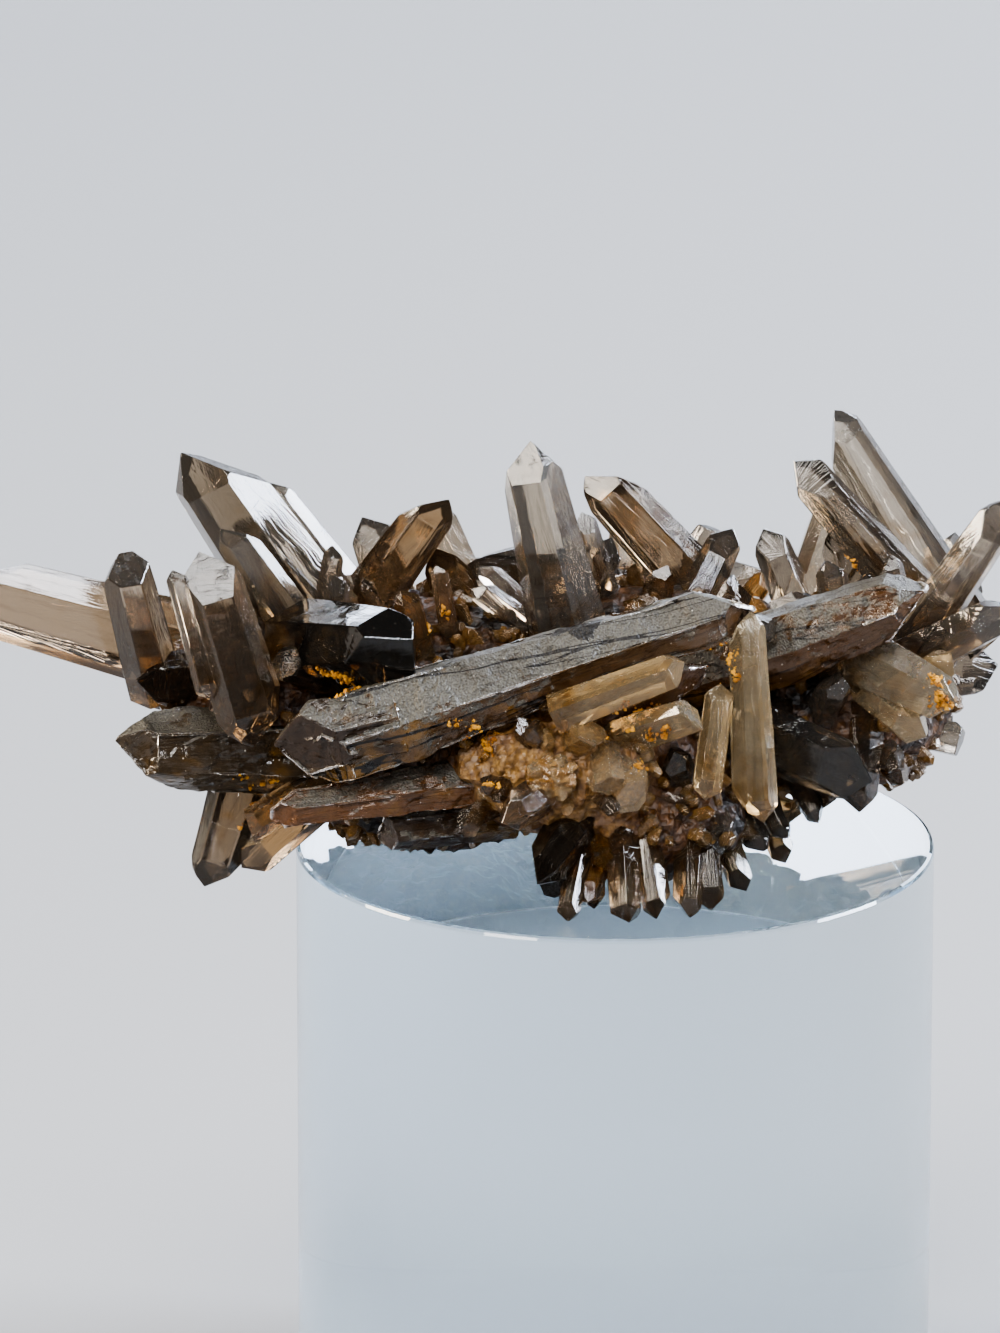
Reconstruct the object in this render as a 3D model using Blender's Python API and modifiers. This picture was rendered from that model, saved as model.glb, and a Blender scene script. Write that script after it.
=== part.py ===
"""A smoky quartz cluster that lies on a clear acrylic cylinder.

The cluster is one grown-together solid: hexagonal crystals with six sloping end faces, which
stand out of a lumpy root mass on every side. It rests on the top of the cylinder.
Metres, +Z up, +Y to the back. The origin is the centre of the cylinder's bottom face.
"""

import math
import random
from collections import namedtuple

import bmesh
import bpy
from mathutils import Matrix, Vector

MM = 0.001

# The cylinder, a standard three inch rod
STAND_RADIUS = 38 * MM
STAND_HEIGHT = 76 * MM
STAND_CHAMFER = 0.5 * MM
STAND_SIDES = 72

# The cluster lies this far above the cylinder's top, and is trimmed to it
REST_GAP = 0.3 * MM
TRIM_MARGIN = 1.5 * MM

# Quartz: an end face's normal stands this far off the crystal's axis
END_FACE_TILT = math.radians(51.8)
SIDES = 6
# The deepest end face cuts this far past the tip, over the half width over flats
DEEP_CUT = -0.24
# A crystal's seen width lies between its width over corners and its width over flats
WIDTH_PER_RADIUS = 1.72
# No crystal is an even hexagon: each side lies at some share of the half width over flats
SIDE_SHARES = (0.80, 0.99)

SEED = 31
COLLECTION = "smoky_quartz_cluster"
OPERANDS = "growth"

# A crystal. The tip is in millimetres from the centre of the cylinder's top: across to the right,
# back, and up. It leans by so many degrees from upright, to the right, and comes towards the
# viewer by so many degrees. Width and length are in millimetres. The habit is how it is grown,
# and the deep face is the end face that is cut furthest back, counted round from the viewer.
Crystal = namedtuple(
    "Crystal", "name tip lean toward length width habit deep", defaults=("point", None))

# How a crystal is grown: root and end width over its own, depth over width, turn about its axis
# in degrees, whether both ends are pointed, and how much of its point is broken off flat
Habit = namedtuple("Habit", "root end depth turn double broken")
HABITS = {
    "point": Habit(1.12, 0.94, 1.0, 10, False, 0.0),
    "edge_on": Habit(1.10, 0.92, 0.9, 30, False, 0.0),
    "turned": Habit(1.08, 0.90, 1.0, -12, False, 0.0),
    "slab": Habit(1.05, 0.95, 0.62, 4, False, 0.0),
    "blunt": Habit(1.00, 1.00, 0.8, 14, False, 0.55),
    "double": Habit(1.00, 0.97, 0.8, 8, True, 0.0),
    "log": Habit(1.12, 0.86, 0.9, 24, True, 0.0),
}

LEFT_GROUP = [
    Crystal("big_left", (-50, -4, 50), -32, 7, 35, 11.4, "turned", 2),
    Crystal("big_left_companion", (-42, 1, 44), -34, 6, 26, 6.2),
    Crystal("left_blade", (-46, -10, 42), -31, 12, 23, 5.2),
    Crystal("left_long", (-79, -7, 34), -70, 14, 48, 11.2, "slab"),
    Crystal("left_blunt", (-58, -19, 42), -10, 30, 25, 6.8, "blunt"),
    Crystal("left_dark", (-57, -12, 23), -86, 22, 26, 8.0),
    Crystal("left_low", (-59, -18, 17), -84, 20, 30, 10.4, "point", 4),
    Crystal("left_down", (-48, -13, -2), -162, 16, 18, 7.0),
    Crystal("left_down_small", (-44, -14, 1), -128, 23, 18, 4.2),
    Crystal("left_down_stub", (-45, -17, 6), -118, 18, 14, 4.0, "blunt"),
    Crystal("left_down_side", (-45, -11, 2), -146, 5, 15, 3.4),
    Crystal("left_double", (-48.5, -17, 41), -17, -10, 24, 7.8, "double"),
    Crystal("left_strip", (-51.5, -18, 39), -15, -12, 16, 2.8, "double"),
    Crystal("grey_block", (-40, -21, 29), -55, 50, 16, 5.0, "blunt"),
    Crystal("dark_head", (-24, -30, 33), 66, 54, 24, 10.4, "edge_on", 0),
    Crystal("leaning_slab", (-20, 0, 43), 34, 5, 26, 6.8, "slab"),
    Crystal("brown_slab", (-21, 3, 36), -20, 4, 19, 6.0, "slab"),
    Crystal("pale_small", (-17, -4, 33), -49, 12, 12, 3.2),
    Crystal("pale_smaller", (-16, 1, 34), -44, 2, 10, 2.8),
    Crystal("amber_pair_front", (-25, -12, 35), -13, 13, 13, 3.8, "edge_on"),
    Crystal("amber_pair_back", (-21, -9, 37), -9, 6, 14, 2.2),
    Crystal("needle_back", (-33, -8, 39), 10, 12, 13, 2.6),
    Crystal("needle_front", (-33, -11, 36), -4, 24, 11, 3.0),
]

FRONT_GROUP = [
    Crystal("upright", (-11, -9, 52), -12, 6, 30, 8.8, "turned", 4),
    Crystal("long_front", (16, -20.5, 36), 73, -6, 57, 10.4, "log", 4),
    Crystal("long_front_cap", (-40, -28, 20), -102, 8, 15, 10.6, "turned", 0),
    Crystal("lower_plate", (-41, -27, 12), -95, 10, 36, 6.6, "turned", 3),
    Crystal("low_pointer", (-30, -26, 9), -91, 19, 19, 5.6, "blunt"),
    Crystal("low_brown", (-37, -19, 10), -98, 18, 15, 3.8),
    Crystal("front_bright", (-14, -33, 13), -107, 43, 17, 4.8),
    Crystal("down_dark", (-10, -32, 5), -137, 44, 19, 5.4),
    Crystal("down_blunt", (-9, -31, 2), -142, 52, 16, 5.6, "blunt"),
    Crystal("cream_block", (3, -32, 13), 145, 52, 16, 6.0, "blunt"),
    Crystal("cream_upper", (-2, -31, 24), 40, 45, 12, 4.6, "blunt"),
    Crystal("cream_side", (-1, -33, 15), 168, 58, 12, 4.4, "blunt"),
    Crystal("orange_low", (-1, -29, 5), 166, 56, 13, 4.0),
    Crystal("orange_lower", (-4, -30, 2), -150, 55, 12, 3.2),
    Crystal("rest_point_left", (1, -33, 0.3), 176, 42, 14, 4.0, "edge_on"),
    Crystal("rest_point_middle", (5, -31, 0.3), 166, 36, 12, 3.6),
    Crystal("rest_point_right", (8, -31, 0.3), -176, 44, 13, 3.8, "turned"),
    Crystal("rest_point_small", (12, -26, 2), 150, 38, 12, 3.4),
    Crystal("rest_point_far", (-6, -32, 0.3), -166, 42, 12, 3.0, "edge_on"),
    Crystal("rest_point_back", (4, -25, 0.3), 175, 12, 12, 4.0),
    Crystal("rest_point_first", (-3, -28, 0.3), 178, 30, 11, 3.6),
    Crystal("rest_point_second", (11, -28, 0.3), 170, 34, 12, 3.4, "turned"),
    Crystal("rest_point_third", (15, -23, 1), 158, 30, 12, 3.2),
    Crystal("rest_point_fourth", (20, -15, 2), 160, 24, 11, 3.0),
    Crystal("low_right_blunt", (13, -27, 6), 148, 50, 14, 5.4, "blunt"),
    Crystal("upright_bar", (15, -21, 35), -3, -14, 25, 5.2, "double"),
    Crystal("upright_bar_side", (12, -24, 27), 8, -18, 14, 3.4, "double"),
    Crystal("amber_right", (8, -30, 31), 66, 10, 17, 4.6),
    Crystal("druse_ridge", (11, -25, 29), 64, 7, 28, 6.0, "edge_on"),
    Crystal("front_right_blunt", (11, -31, 26), 62, 28, 17, 5.4, "blunt"),
    Crystal("small_grey", (6, -25, 19), -15, 38, 11, 4.4),
]

RIGHT_GROUP = [
    Crystal("right_long", (37, -18, 36), 66, 11, 33, 9.8, "edge_on", 1),
    Crystal("right_finger_low", (46, -14, 33), 55, 23, 24, 5.6),
    Crystal("right_finger_high", (46, -10, 45), 31, 11, 28, 6.2),
    Crystal("tall_right_back", (25, 4, 52), -31, 7, 35, 8.2, "edge_on"),
    Crystal("tall_right_front", (21, -3, 48), -39, 10, 32, 7.0, "edge_on"),
    Crystal("dark_slab", (30, -21, 14), 107, 20, 22, 8.4, "slab"),
    Crystal("right_down", (28, -18, 9), -175, 26, 13, 4.8),
    Crystal("right_down_first", (24, -18, 8), 145, 42, 10, 2.8),
    Crystal("right_down_second", (20, -19, 6), 146, 40, 10, 2.8),
    Crystal("right_down_third", (17, -21, 5), 153, 46, 11, 3.4),
    Crystal("right_down_small", (32, -12, 13), 153, 40, 10, 3.2),
    Crystal("pale_big", (40, -21, 23), 107, 38, 18, 6.4),
    Crystal("pale_low", (36, -20, 19), 120, 44, 13, 4.4),
    Crystal("pale_edge", (40, -2, 25), 28, 18, 12, 3.2),
    Crystal("right_top_front", (25, -10, 38), -8, 15, 13, 3.8),
    Crystal("right_top_middle", (29, -9, 36), 5, 10, 11, 3.6),
    Crystal("right_top_last", (32, -5, 37), -12, 8, 12, 3.2),
    Crystal("middle_right_small", (16, -19, 33), -24, 38, 11, 3.8),
    Crystal("middle_right_pale", (18, -8, 32), -64, 11, 14, 4.4),
    Crystal("small_blue", (26, -18, 26), 17, 32, 11, 4.2),
    Crystal("stained_tip", (39, -17, 28), 42, 30, 11, 4.0),
]

BACK_GROUP = [
    Crystal("back_dark", (-3, 14, 42), -43, -9, 32, 8.0, "slab"),
    Crystal("back_long", (-19, 17, 29), -79, 6, 30, 5.6, "slab"),
    Crystal("back_round", (12, 24, 35), 8, -12, 17, 5.4, "blunt"),
    Crystal("back_brown", (18, 17, 34), -23, -8, 17, 5.2),
    Crystal("back_spike", (-4, 2, 40), -16, 8, 16, 3.0),
    Crystal("back_pair", (26, 8, 37), -16, -10, 17, 5.4),
    Crystal("back_white", (41, 15, 34), 14, -12, 15, 3.4),
    Crystal("back_white_low", (38, 18, 33), 9, -16, 13, 3.0),
    Crystal("rear_left_big", (-44, 24, 34), -46, -34, 40, 10.0, "turned"),
    Crystal("rear_left_low", (-54, 18, 16), -84, -30, 34, 8.2, "edge_on"),
    Crystal("rear_left_tail", (-46, 16, 6), -104, -26, 28, 5.4),
    Crystal("rear_middle_big", (-14, 40, 24), -24, -68, 34, 9.6, "point"),
    Crystal("rear_middle_up", (-22, 30, 33), -26, -42, 28, 7.0, "turned"),
    Crystal("rear_middle_low", (-2, 38, 10), 94, -80, 28, 6.4, "edge_on"),
    Crystal("rear_log", (20, 34, 24), 78, -12, 46, 8.4, "log"),
    Crystal("rear_right_big", (44, 24, 28), 58, -40, 36, 8.8, "point"),
    Crystal("rear_right_low", (40, 26, 12), 88, -46, 28, 6.2),
    Crystal("rear_right_up", (28, 26, 38), 20, -32, 28, 6.4, "edge_on"),
    Crystal("rear_stub", (8, 38, 18), 80, -70, 20, 6.0, "blunt"),
    Crystal("rear_low_left", (-28, 32, 12), -94, -64, 26, 6.6),
    Crystal("rear_needle", (2, 27, 37), 6, -28, 18, 3.6),
    Crystal("right_side_low", (46, 6, 20), 84, -4, 24, 7.0, "turned"),
    Crystal("right_side_stub", (44, 0, 12), 100, 12, 22, 5.4, "blunt"),
    Crystal("left_side_back", (-60, 6, 26), -72, -6, 30, 7.4, "edge_on"),
    Crystal("left_side_low", (-56, 2, 10), -100, -2, 28, 6.6),
    Crystal("top_left", (-30, 12, 37), -20, -14, 20, 6.0, "edge_on"),
    Crystal("top_middle", (0, 6, 36), 30, -4, 18, 5.4),
    Crystal("top_right", (14, 10, 36), 26, -10, 18, 5.2, "turned"),
    Crystal("top_far_right", (32, 10, 33), 34, -8, 18, 5.0),
    Crystal("top_far_left", (-38, 14, 33), -50, -24, 22, 6.0),
    Crystal("rear_upright", (4, 30, 30), 4, -44, 20, 5.6, "edge_on"),
]

# The root mass: centre and half sizes of each lump, in millimetres from the cylinder's top
Lump = namedtuple("Lump", "name centre half_size")
LUMPS = [
    Lump("left_root", (-22, 0, 15), (21, 19, 16)),
    Lump("middle_root", (2, 2, 15), (22, 22, 16)),
    Lump("right_root", (24, 0, 18), (17, 17, 12)),
    Lump("sugary_front", (-7, -20, 16), (15, 10, 9)),
    Lump("low_front", (3, -19, 9), (13, 9, 8)),
    Lump("left_arm", (-42, -5, 20), (13, 10, 10)),
    Lump("back_root", (-4, 18, 16), (30, 14, 12)),
]
LUMP_SEGMENTS = 10
LUMP_RINGS = 7
LUMP_ROUGHNESS = 0.10

# Small crystals that crowd the root mass: how many on each lump, and their width and length
Druse = namedtuple("Druse", "lump count width length")
DRUSES = [
    Druse("left_root", 14, (2.4, 4.2), (6, 10)),
    Druse("middle_root", 14, (2.2, 4.0), (6, 10)),
    Druse("right_root", 12, (2.2, 3.8), (5, 9)),
    Druse("sugary_front", 16, (2.0, 3.4), (4, 7)),
    Druse("left_arm", 8, (2.2, 3.8), (5, 8)),
    Druse("back_root", 18, (2.4, 4.6), (6, 11)),
]
DRUSE_SINK = 0.55


def clear_scene():
    """Removes the objects that the file opens with."""
    for found in list(bpy.data.objects):
        bpy.data.objects.remove(found)


def new_collection(name):
    """A collection under the scene."""
    made = bpy.data.collections.new(name)
    bpy.context.scene.collection.children.link(made)
    return made


def material(name, colour, roughness, ior, transmission):
    """A Principled material without metal."""
    made = bpy.data.materials.new(name)
    made.use_nodes = True
    shader = made.node_tree.nodes["Principled BSDF"]
    shader.inputs["Base Color"].default_value = (*colour, 1.0)
    shader.inputs["Metallic"].default_value = 0.0
    shader.inputs["Roughness"].default_value = roughness
    shader.inputs["IOR"].default_value = ior
    shader.inputs["Transmission Weight"].default_value = transmission
    return made


def object_from(bm, name, collection):
    """Turns a bmesh into a named object."""
    bmesh.ops.recalc_face_normals(bm, faces=bm.faces[:])
    mesh = bpy.data.meshes.new(name)
    bm.to_mesh(mesh)
    bm.free()
    made = bpy.data.objects.new(name, mesh)
    collection.objects.link(made)
    return made


def as_operand(thing):
    """Marks an object that only shapes another one."""
    thing.hide_render = True
    thing.display_type = "WIRE"


def above_stand(point):
    """A point given in millimetres from the centre of the cylinder's top."""
    return Vector(point) * MM + Vector((0, 0, STAND_HEIGHT))


def cut_away(bm, point, normal):
    """Removes what lies beyond a plane and closes the cut."""
    whole = bm.verts[:] + bm.edges[:] + bm.faces[:]
    cut = bmesh.ops.bisect_plane(bm, geom=whole, plane_co=point, plane_no=normal, clear_outer=True)
    rim = [item for item in cut["geom_cut"] if isinstance(item, bmesh.types.BMEdge)]
    if rim:
        bmesh.ops.edgeloop_fill(bm, edges=rim)


def cut_sides(bm, half_root, half_end, length, rng):
    """Makes the six sides of a prism uneven."""
    for side in range(SIDES):
        share = rng.uniform(*SIDE_SHARES)
        around = math.tau * side / SIDES
        outer = Vector((math.cos(around), math.sin(around), 0))
        taper = Vector((0, 0, (half_root - half_end) * share / length))
        cut_away(bm, outer * half_end * share, (outer + taper).normalized())


def end_face_offsets(rng, deep):
    """How far each end face stands off the tip, over the crystal's half width over flats.

    Every second face is the smaller one, and one face is cut deeper than the rest.
    """
    offsets = [rng.uniform(0.0, 0.16) + (0.22 if side % 2 else 0.0) for side in range(SIDES)]
    any_large = 2 * rng.randrange(3)
    offsets[any_large if deep is None else deep] = DEEP_CUT
    return offsets


def cut_point(bm, half_flat, height, upward, rng, deep):
    """Cuts one end of a prism to six sloping faces that meet near a height on its axis."""
    for side, offset in enumerate(end_face_offsets(rng, deep)):
        around = math.tau * side / SIDES
        normal = Vector((
            math.sin(END_FACE_TILT) * math.cos(around),
            math.sin(END_FACE_TILT) * math.sin(around),
            upward * math.cos(END_FACE_TILT),
        ))
        cut_away(bm, Vector((0, 0, height)) + normal * offset * half_flat, normal)


def crystal_mesh(width, length, habit, rng, deep):
    """A crystal along +Z with its tip at the origin."""
    radius = width / WIDTH_PER_RADIUS
    bm = bmesh.new()
    bmesh.ops.create_cone(
        bm, cap_ends=True, segments=SIDES, depth=length,
        radius1=radius * habit.root, radius2=radius * habit.end,
        matrix=Matrix.Translation((0, 0, -length / 2)),
    )
    half_root = radius * habit.root * math.cos(math.pi / SIDES)
    half_end = radius * habit.end * math.cos(math.pi / SIDES)
    cut_sides(bm, half_root, half_end, length, rng)
    cut_point(bm, half_end, 0.0, 1, rng, deep)
    if habit.double:
        cut_point(bm, half_root, -length, -1, rng, deep)
    if habit.broken:
        slant = Vector((rng.uniform(-0.3, 0.3), rng.uniform(-0.3, 0.3), 1)).normalized()
        cut_away(bm, Vector((0, 0, -habit.broken * 2 * half_end)), slant)
    bmesh.ops.scale(bm, vec=(habit.depth, 1, 1), verts=bm.verts[:])
    return bm


def axis_of(lean, toward):
    """The direction of a crystal, from its two angles in degrees."""
    lean = math.radians(lean)
    toward = math.radians(toward)
    return Vector((
        math.cos(toward) * math.sin(lean),
        -math.sin(toward),
        math.cos(toward) * math.cos(lean),
    ))


def placing(tip, axis, turn):
    """Puts a tip at its place, with local +X as near to the viewer as the axis lets it."""
    viewer = Vector((0, -1, 0))
    if abs(viewer.dot(axis)) > math.cos(math.radians(8)):
        viewer = Vector((0, 0, 1))
    front = (viewer - axis * viewer.dot(axis)).normalized()
    turned = Matrix((front, axis.cross(front), axis)).transposed().to_4x4()
    return Matrix.Translation(tip) @ turned @ Matrix.Rotation(math.radians(turn), 4, "Z")


def add_crystal(name, tip, axis, length, width, habit, collection, deep=None):
    """Grows one crystal. Its name seeds what is irregular about it."""
    bm = crystal_mesh(width * MM, length * MM, habit, random.Random(name), deep)
    bmesh.ops.transform(bm, matrix=placing(tip, axis, habit.turn), verts=bm.verts[:])
    as_operand(object_from(bm, name, collection))


def add_crystals(collection):
    """Grows every crystal that has its own place."""
    for crystal in LEFT_GROUP + FRONT_GROUP + RIGHT_GROUP + BACK_GROUP:
        add_crystal(
            crystal.name, above_stand(crystal.tip), axis_of(crystal.lean, crystal.toward),
            crystal.length, crystal.width, HABITS[crystal.habit], collection, crystal.deep,
        )


def lump_mesh(lump, rng):
    """A rough rounded lump of the root mass."""
    bm = bmesh.new()
    bmesh.ops.create_uvsphere(bm, u_segments=LUMP_SEGMENTS, v_segments=LUMP_RINGS, radius=1.0)
    for vert in bm.verts:
        vert.co *= 1 + rng.uniform(-LUMP_ROUGHNESS, LUMP_ROUGHNESS)
    bmesh.ops.scale(bm, vec=Vector(lump.half_size) * MM, verts=bm.verts[:])
    bmesh.ops.translate(bm, vec=above_stand(lump.centre), verts=bm.verts[:])
    bmesh.ops.triangulate(bm, faces=bm.faces[:])
    return bm


def outward(rng):
    """A direction anywhere but steeply down."""
    while True:
        found = Vector([rng.uniform(-1, 1) for _ in range(3)])
        if 0.2 < found.length < 1 and found.normalized().z > -0.75:
            return found.normalized()


def add_druse(druse, collection):
    """Grows the small crystals that crowd one lump."""
    rng = random.Random(druse.lump)
    lump = next(item for item in LUMPS if item.name == druse.lump)
    for index in range(druse.count):
        way = outward(rng)
        reach = Vector([part * half for part, half in zip(way, lump.half_size)])
        length = rng.uniform(*druse.length)
        width = rng.uniform(*druse.width)
        lean_off = Vector([rng.uniform(-0.35, 0.35) for _ in range(3)])
        axis = (way + lean_off).normalized()
        tip = above_stand(Vector(lump.centre) + reach + axis * length * (1 - DRUSE_SINK))
        habit = HABITS[rng.choice(("point", "edge_on", "turned"))]
        name = f"druse_{druse.lump}_{index + 1}"
        add_crystal(name, tip, axis, length, width, habit, collection)


def add_boolean(thing, operation, operand=None, collection=None):
    """Joins to an object, or cuts from it, another object or all those of a collection."""
    made = thing.modifiers.new(operation.lower(), "BOOLEAN")
    made.operation = operation
    made.solver = "EXACT"
    if collection:
        made.operand_type = "COLLECTION"
        made.collection = collection
    else:
        made.object = operand


def quartz_cluster(parts, growth):
    """The root mass and all its crystals as one solid, trimmed where it lies on the cylinder."""
    rng = random.Random(SEED)
    cluster = object_from(lump_mesh(LUMPS[0], rng), "quartz_cluster", parts)
    for lump in LUMPS[1:]:
        as_operand(object_from(lump_mesh(lump, rng), lump.name, growth))
    add_crystals(growth)
    for druse in DRUSES:
        add_druse(druse, growth)
    add_boolean(cluster, "UNION", collection=growth)

    bm = bmesh.new()
    bmesh.ops.create_cone(
        bm, cap_ends=True, segments=STAND_SIDES, depth=STAND_HEIGHT,
        radius1=STAND_RADIUS + TRIM_MARGIN, radius2=STAND_RADIUS + TRIM_MARGIN,
        matrix=Matrix.Translation((0, 0, STAND_HEIGHT / 2 + REST_GAP)),
    )
    trim = object_from(bm, "stand_clearance", bpy.data.collections["trim"])
    as_operand(trim)
    add_boolean(cluster, "DIFFERENCE", operand=trim)
    cluster.data.materials.append(material("smoky_quartz", (0.32, 0.25, 0.19), 0.12, 1.55, 0.7))


def acrylic_stand(parts):
    """The clear cylinder, with a small chamfer round both faces."""
    bpy.ops.mesh.primitive_cylinder_add(
        vertices=STAND_SIDES, radius=STAND_RADIUS, depth=STAND_HEIGHT,
        location=(0, 0, STAND_HEIGHT / 2),
    )
    stand = bpy.context.active_object
    stand.name = "acrylic_stand"
    for found in list(stand.users_collection):
        found.objects.unlink(stand)
    parts.objects.link(stand)
    chamfer = stand.modifiers.new("chamfer", "BEVEL")
    chamfer.width = STAND_CHAMFER
    chamfer.segments = 1
    chamfer.limit_method = "ANGLE"
    chamfer.angle_limit = math.radians(60)
    stand.data.materials.append(material("clear_acrylic", (0.95, 0.95, 0.95), 0.03, 1.49, 1.0))


def main():
    """Builds the cluster and its stand."""
    clear_scene()
    parts = new_collection(COLLECTION)
    growth = new_collection(OPERANDS)
    new_collection("trim")
    acrylic_stand(parts)
    quartz_cluster(parts, growth)


main()
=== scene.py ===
"""The looks of a smoky quartz cluster that lies on a clear acrylic cylinder.

Laid out as an add-on and run as a script. Metres, +Z up, +Y to the back; the origin is the centre
of the cylinder's bottom face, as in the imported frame.
"""

import math
import random
from collections import namedtuple

import bmesh
import bpy
from bpy.props import FloatProperty, FloatVectorProperty, IntProperty, PointerProperty
from bpy.types import Operator, Panel, PropertyGroup
from mathutils import Matrix, Vector
from mathutils.bvhtree import BVHTree


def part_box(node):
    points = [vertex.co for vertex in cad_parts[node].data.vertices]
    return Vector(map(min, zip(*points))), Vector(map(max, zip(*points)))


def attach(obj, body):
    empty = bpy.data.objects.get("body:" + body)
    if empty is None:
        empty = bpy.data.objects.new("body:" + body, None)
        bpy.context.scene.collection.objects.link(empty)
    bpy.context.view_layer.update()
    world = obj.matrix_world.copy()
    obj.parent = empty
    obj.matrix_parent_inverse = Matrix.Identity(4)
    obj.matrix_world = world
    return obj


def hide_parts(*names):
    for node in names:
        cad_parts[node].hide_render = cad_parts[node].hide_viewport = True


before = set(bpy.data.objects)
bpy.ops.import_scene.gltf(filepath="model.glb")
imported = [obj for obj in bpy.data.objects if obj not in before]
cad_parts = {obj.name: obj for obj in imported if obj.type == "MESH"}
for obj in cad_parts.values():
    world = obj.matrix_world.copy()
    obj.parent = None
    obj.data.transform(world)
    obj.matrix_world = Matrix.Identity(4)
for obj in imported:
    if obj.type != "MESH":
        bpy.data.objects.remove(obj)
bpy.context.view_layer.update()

bl_info = {
    "name": "Smoky quartz cluster",
    "version": (1, 0, 0),
    "blender": (4, 5, 0),
    "location": "View3D > Sidebar > Quartz",
    "description": "Builds a smoky quartz cluster on a clear cylinder",
    "category": "Add Mesh",
}

MM = 0.001
STAND_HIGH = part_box("acrylic_stand")[1]
STAND_TOP = STAND_HIGH.z
STAND_RADIUS = STAND_HIGH.x
REST_GAP = 0.3 * MM
# What would sink into the cylinder's top is cut off, to this far past its rim
TRIM_MARGIN = 1.5 * MM
BODY = "root"

# Quartz: an end face's normal stands this far off the crystal's axis
END_FACE_TILT = math.radians(51.8)
SIDES = 6
# The deepest end face cuts this far past the tip, over the half width over flats
DEEP_CUT = -0.24
# A crystal's seen width lies between its width over corners and its width over flats
WIDTH_PER_RADIUS = 1.72
# No crystal is an even hexagon: each side lies at some share of the half width over flats
SIDE_SHARES = (0.80, 0.99)
# End faces stand off the tip by some share of this, and every second, smaller one by more
FACE_SPREAD = 0.16
SMALL_FACE_OFFSET = 0.22
# A wide crystal has growth ledges: how far apart, along which part of it, and how they vary
LEDGED_WIDTH = 5 * MM
LEDGE_SPACING = 7 * MM
LEDGE_START = 0.22
LEDGE_RUN = 0.66
LEDGE_SLANT = 0.12
LEDGE_STEPS = (0.5, 1.2)
# A broken end slants by no more than this each way
BREAK_SLANT = 0.3
# Edges sharper than this are bevelled, on thin crystals by this share of the width
SHARP_EDGE = math.radians(20)
SLIM_BEVEL = 0.03
CUT_THRESHOLD = 1e-7
# A crystal that points at the viewer within 8 degrees is turned by the upright instead
END_ON = math.cos(math.radians(8))
UV_PER_METRE = 100

# A crystal. The tip is in millimetres from the centre of the cylinder's top: across to the right,
# back, and up. It leans by so many degrees from upright, to the right, and comes towards the
# viewer by so many degrees. Width and length are in millimetres. The habit is how it is grown,
# the tone runs from 0, pale, to 1, dark, the frost from 0, glossy, to 1, dull, and the amber from
# 0, grey, to 1, golden. The deep face is the end face that is cut furthest back, counted round
# from the viewer.
Crystal = namedtuple(
    "Crystal", "name tip lean toward length width habit tone frost amber deep",
    defaults=(0.1, None))

# How a crystal is grown: root and end width over its own, depth over width, turn about its axis
# in degrees, whether both ends are pointed, and how much of its point is broken off flat
Habit = namedtuple("Habit", "root end depth turn double broken")
HABITS = {
    "point": Habit(1.12, 0.94, 1.0, 10, False, 0.0),
    "edge_on": Habit(1.10, 0.92, 0.9, 30, False, 0.0),
    "turned": Habit(1.08, 0.90, 1.0, -12, False, 0.0),
    "cap": Habit(0.80, 0.94, 1.0, -12, False, 0.0),
    "slab": Habit(1.05, 0.95, 0.62, 4, False, 0.0),
    "blunt": Habit(1.00, 1.00, 0.8, 14, False, 0.55),
    "double": Habit(1.00, 0.97, 0.8, 8, True, 0.0),
    "log": Habit(1.12, 0.86, 0.9, 24, True, 0.0),
}

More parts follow.
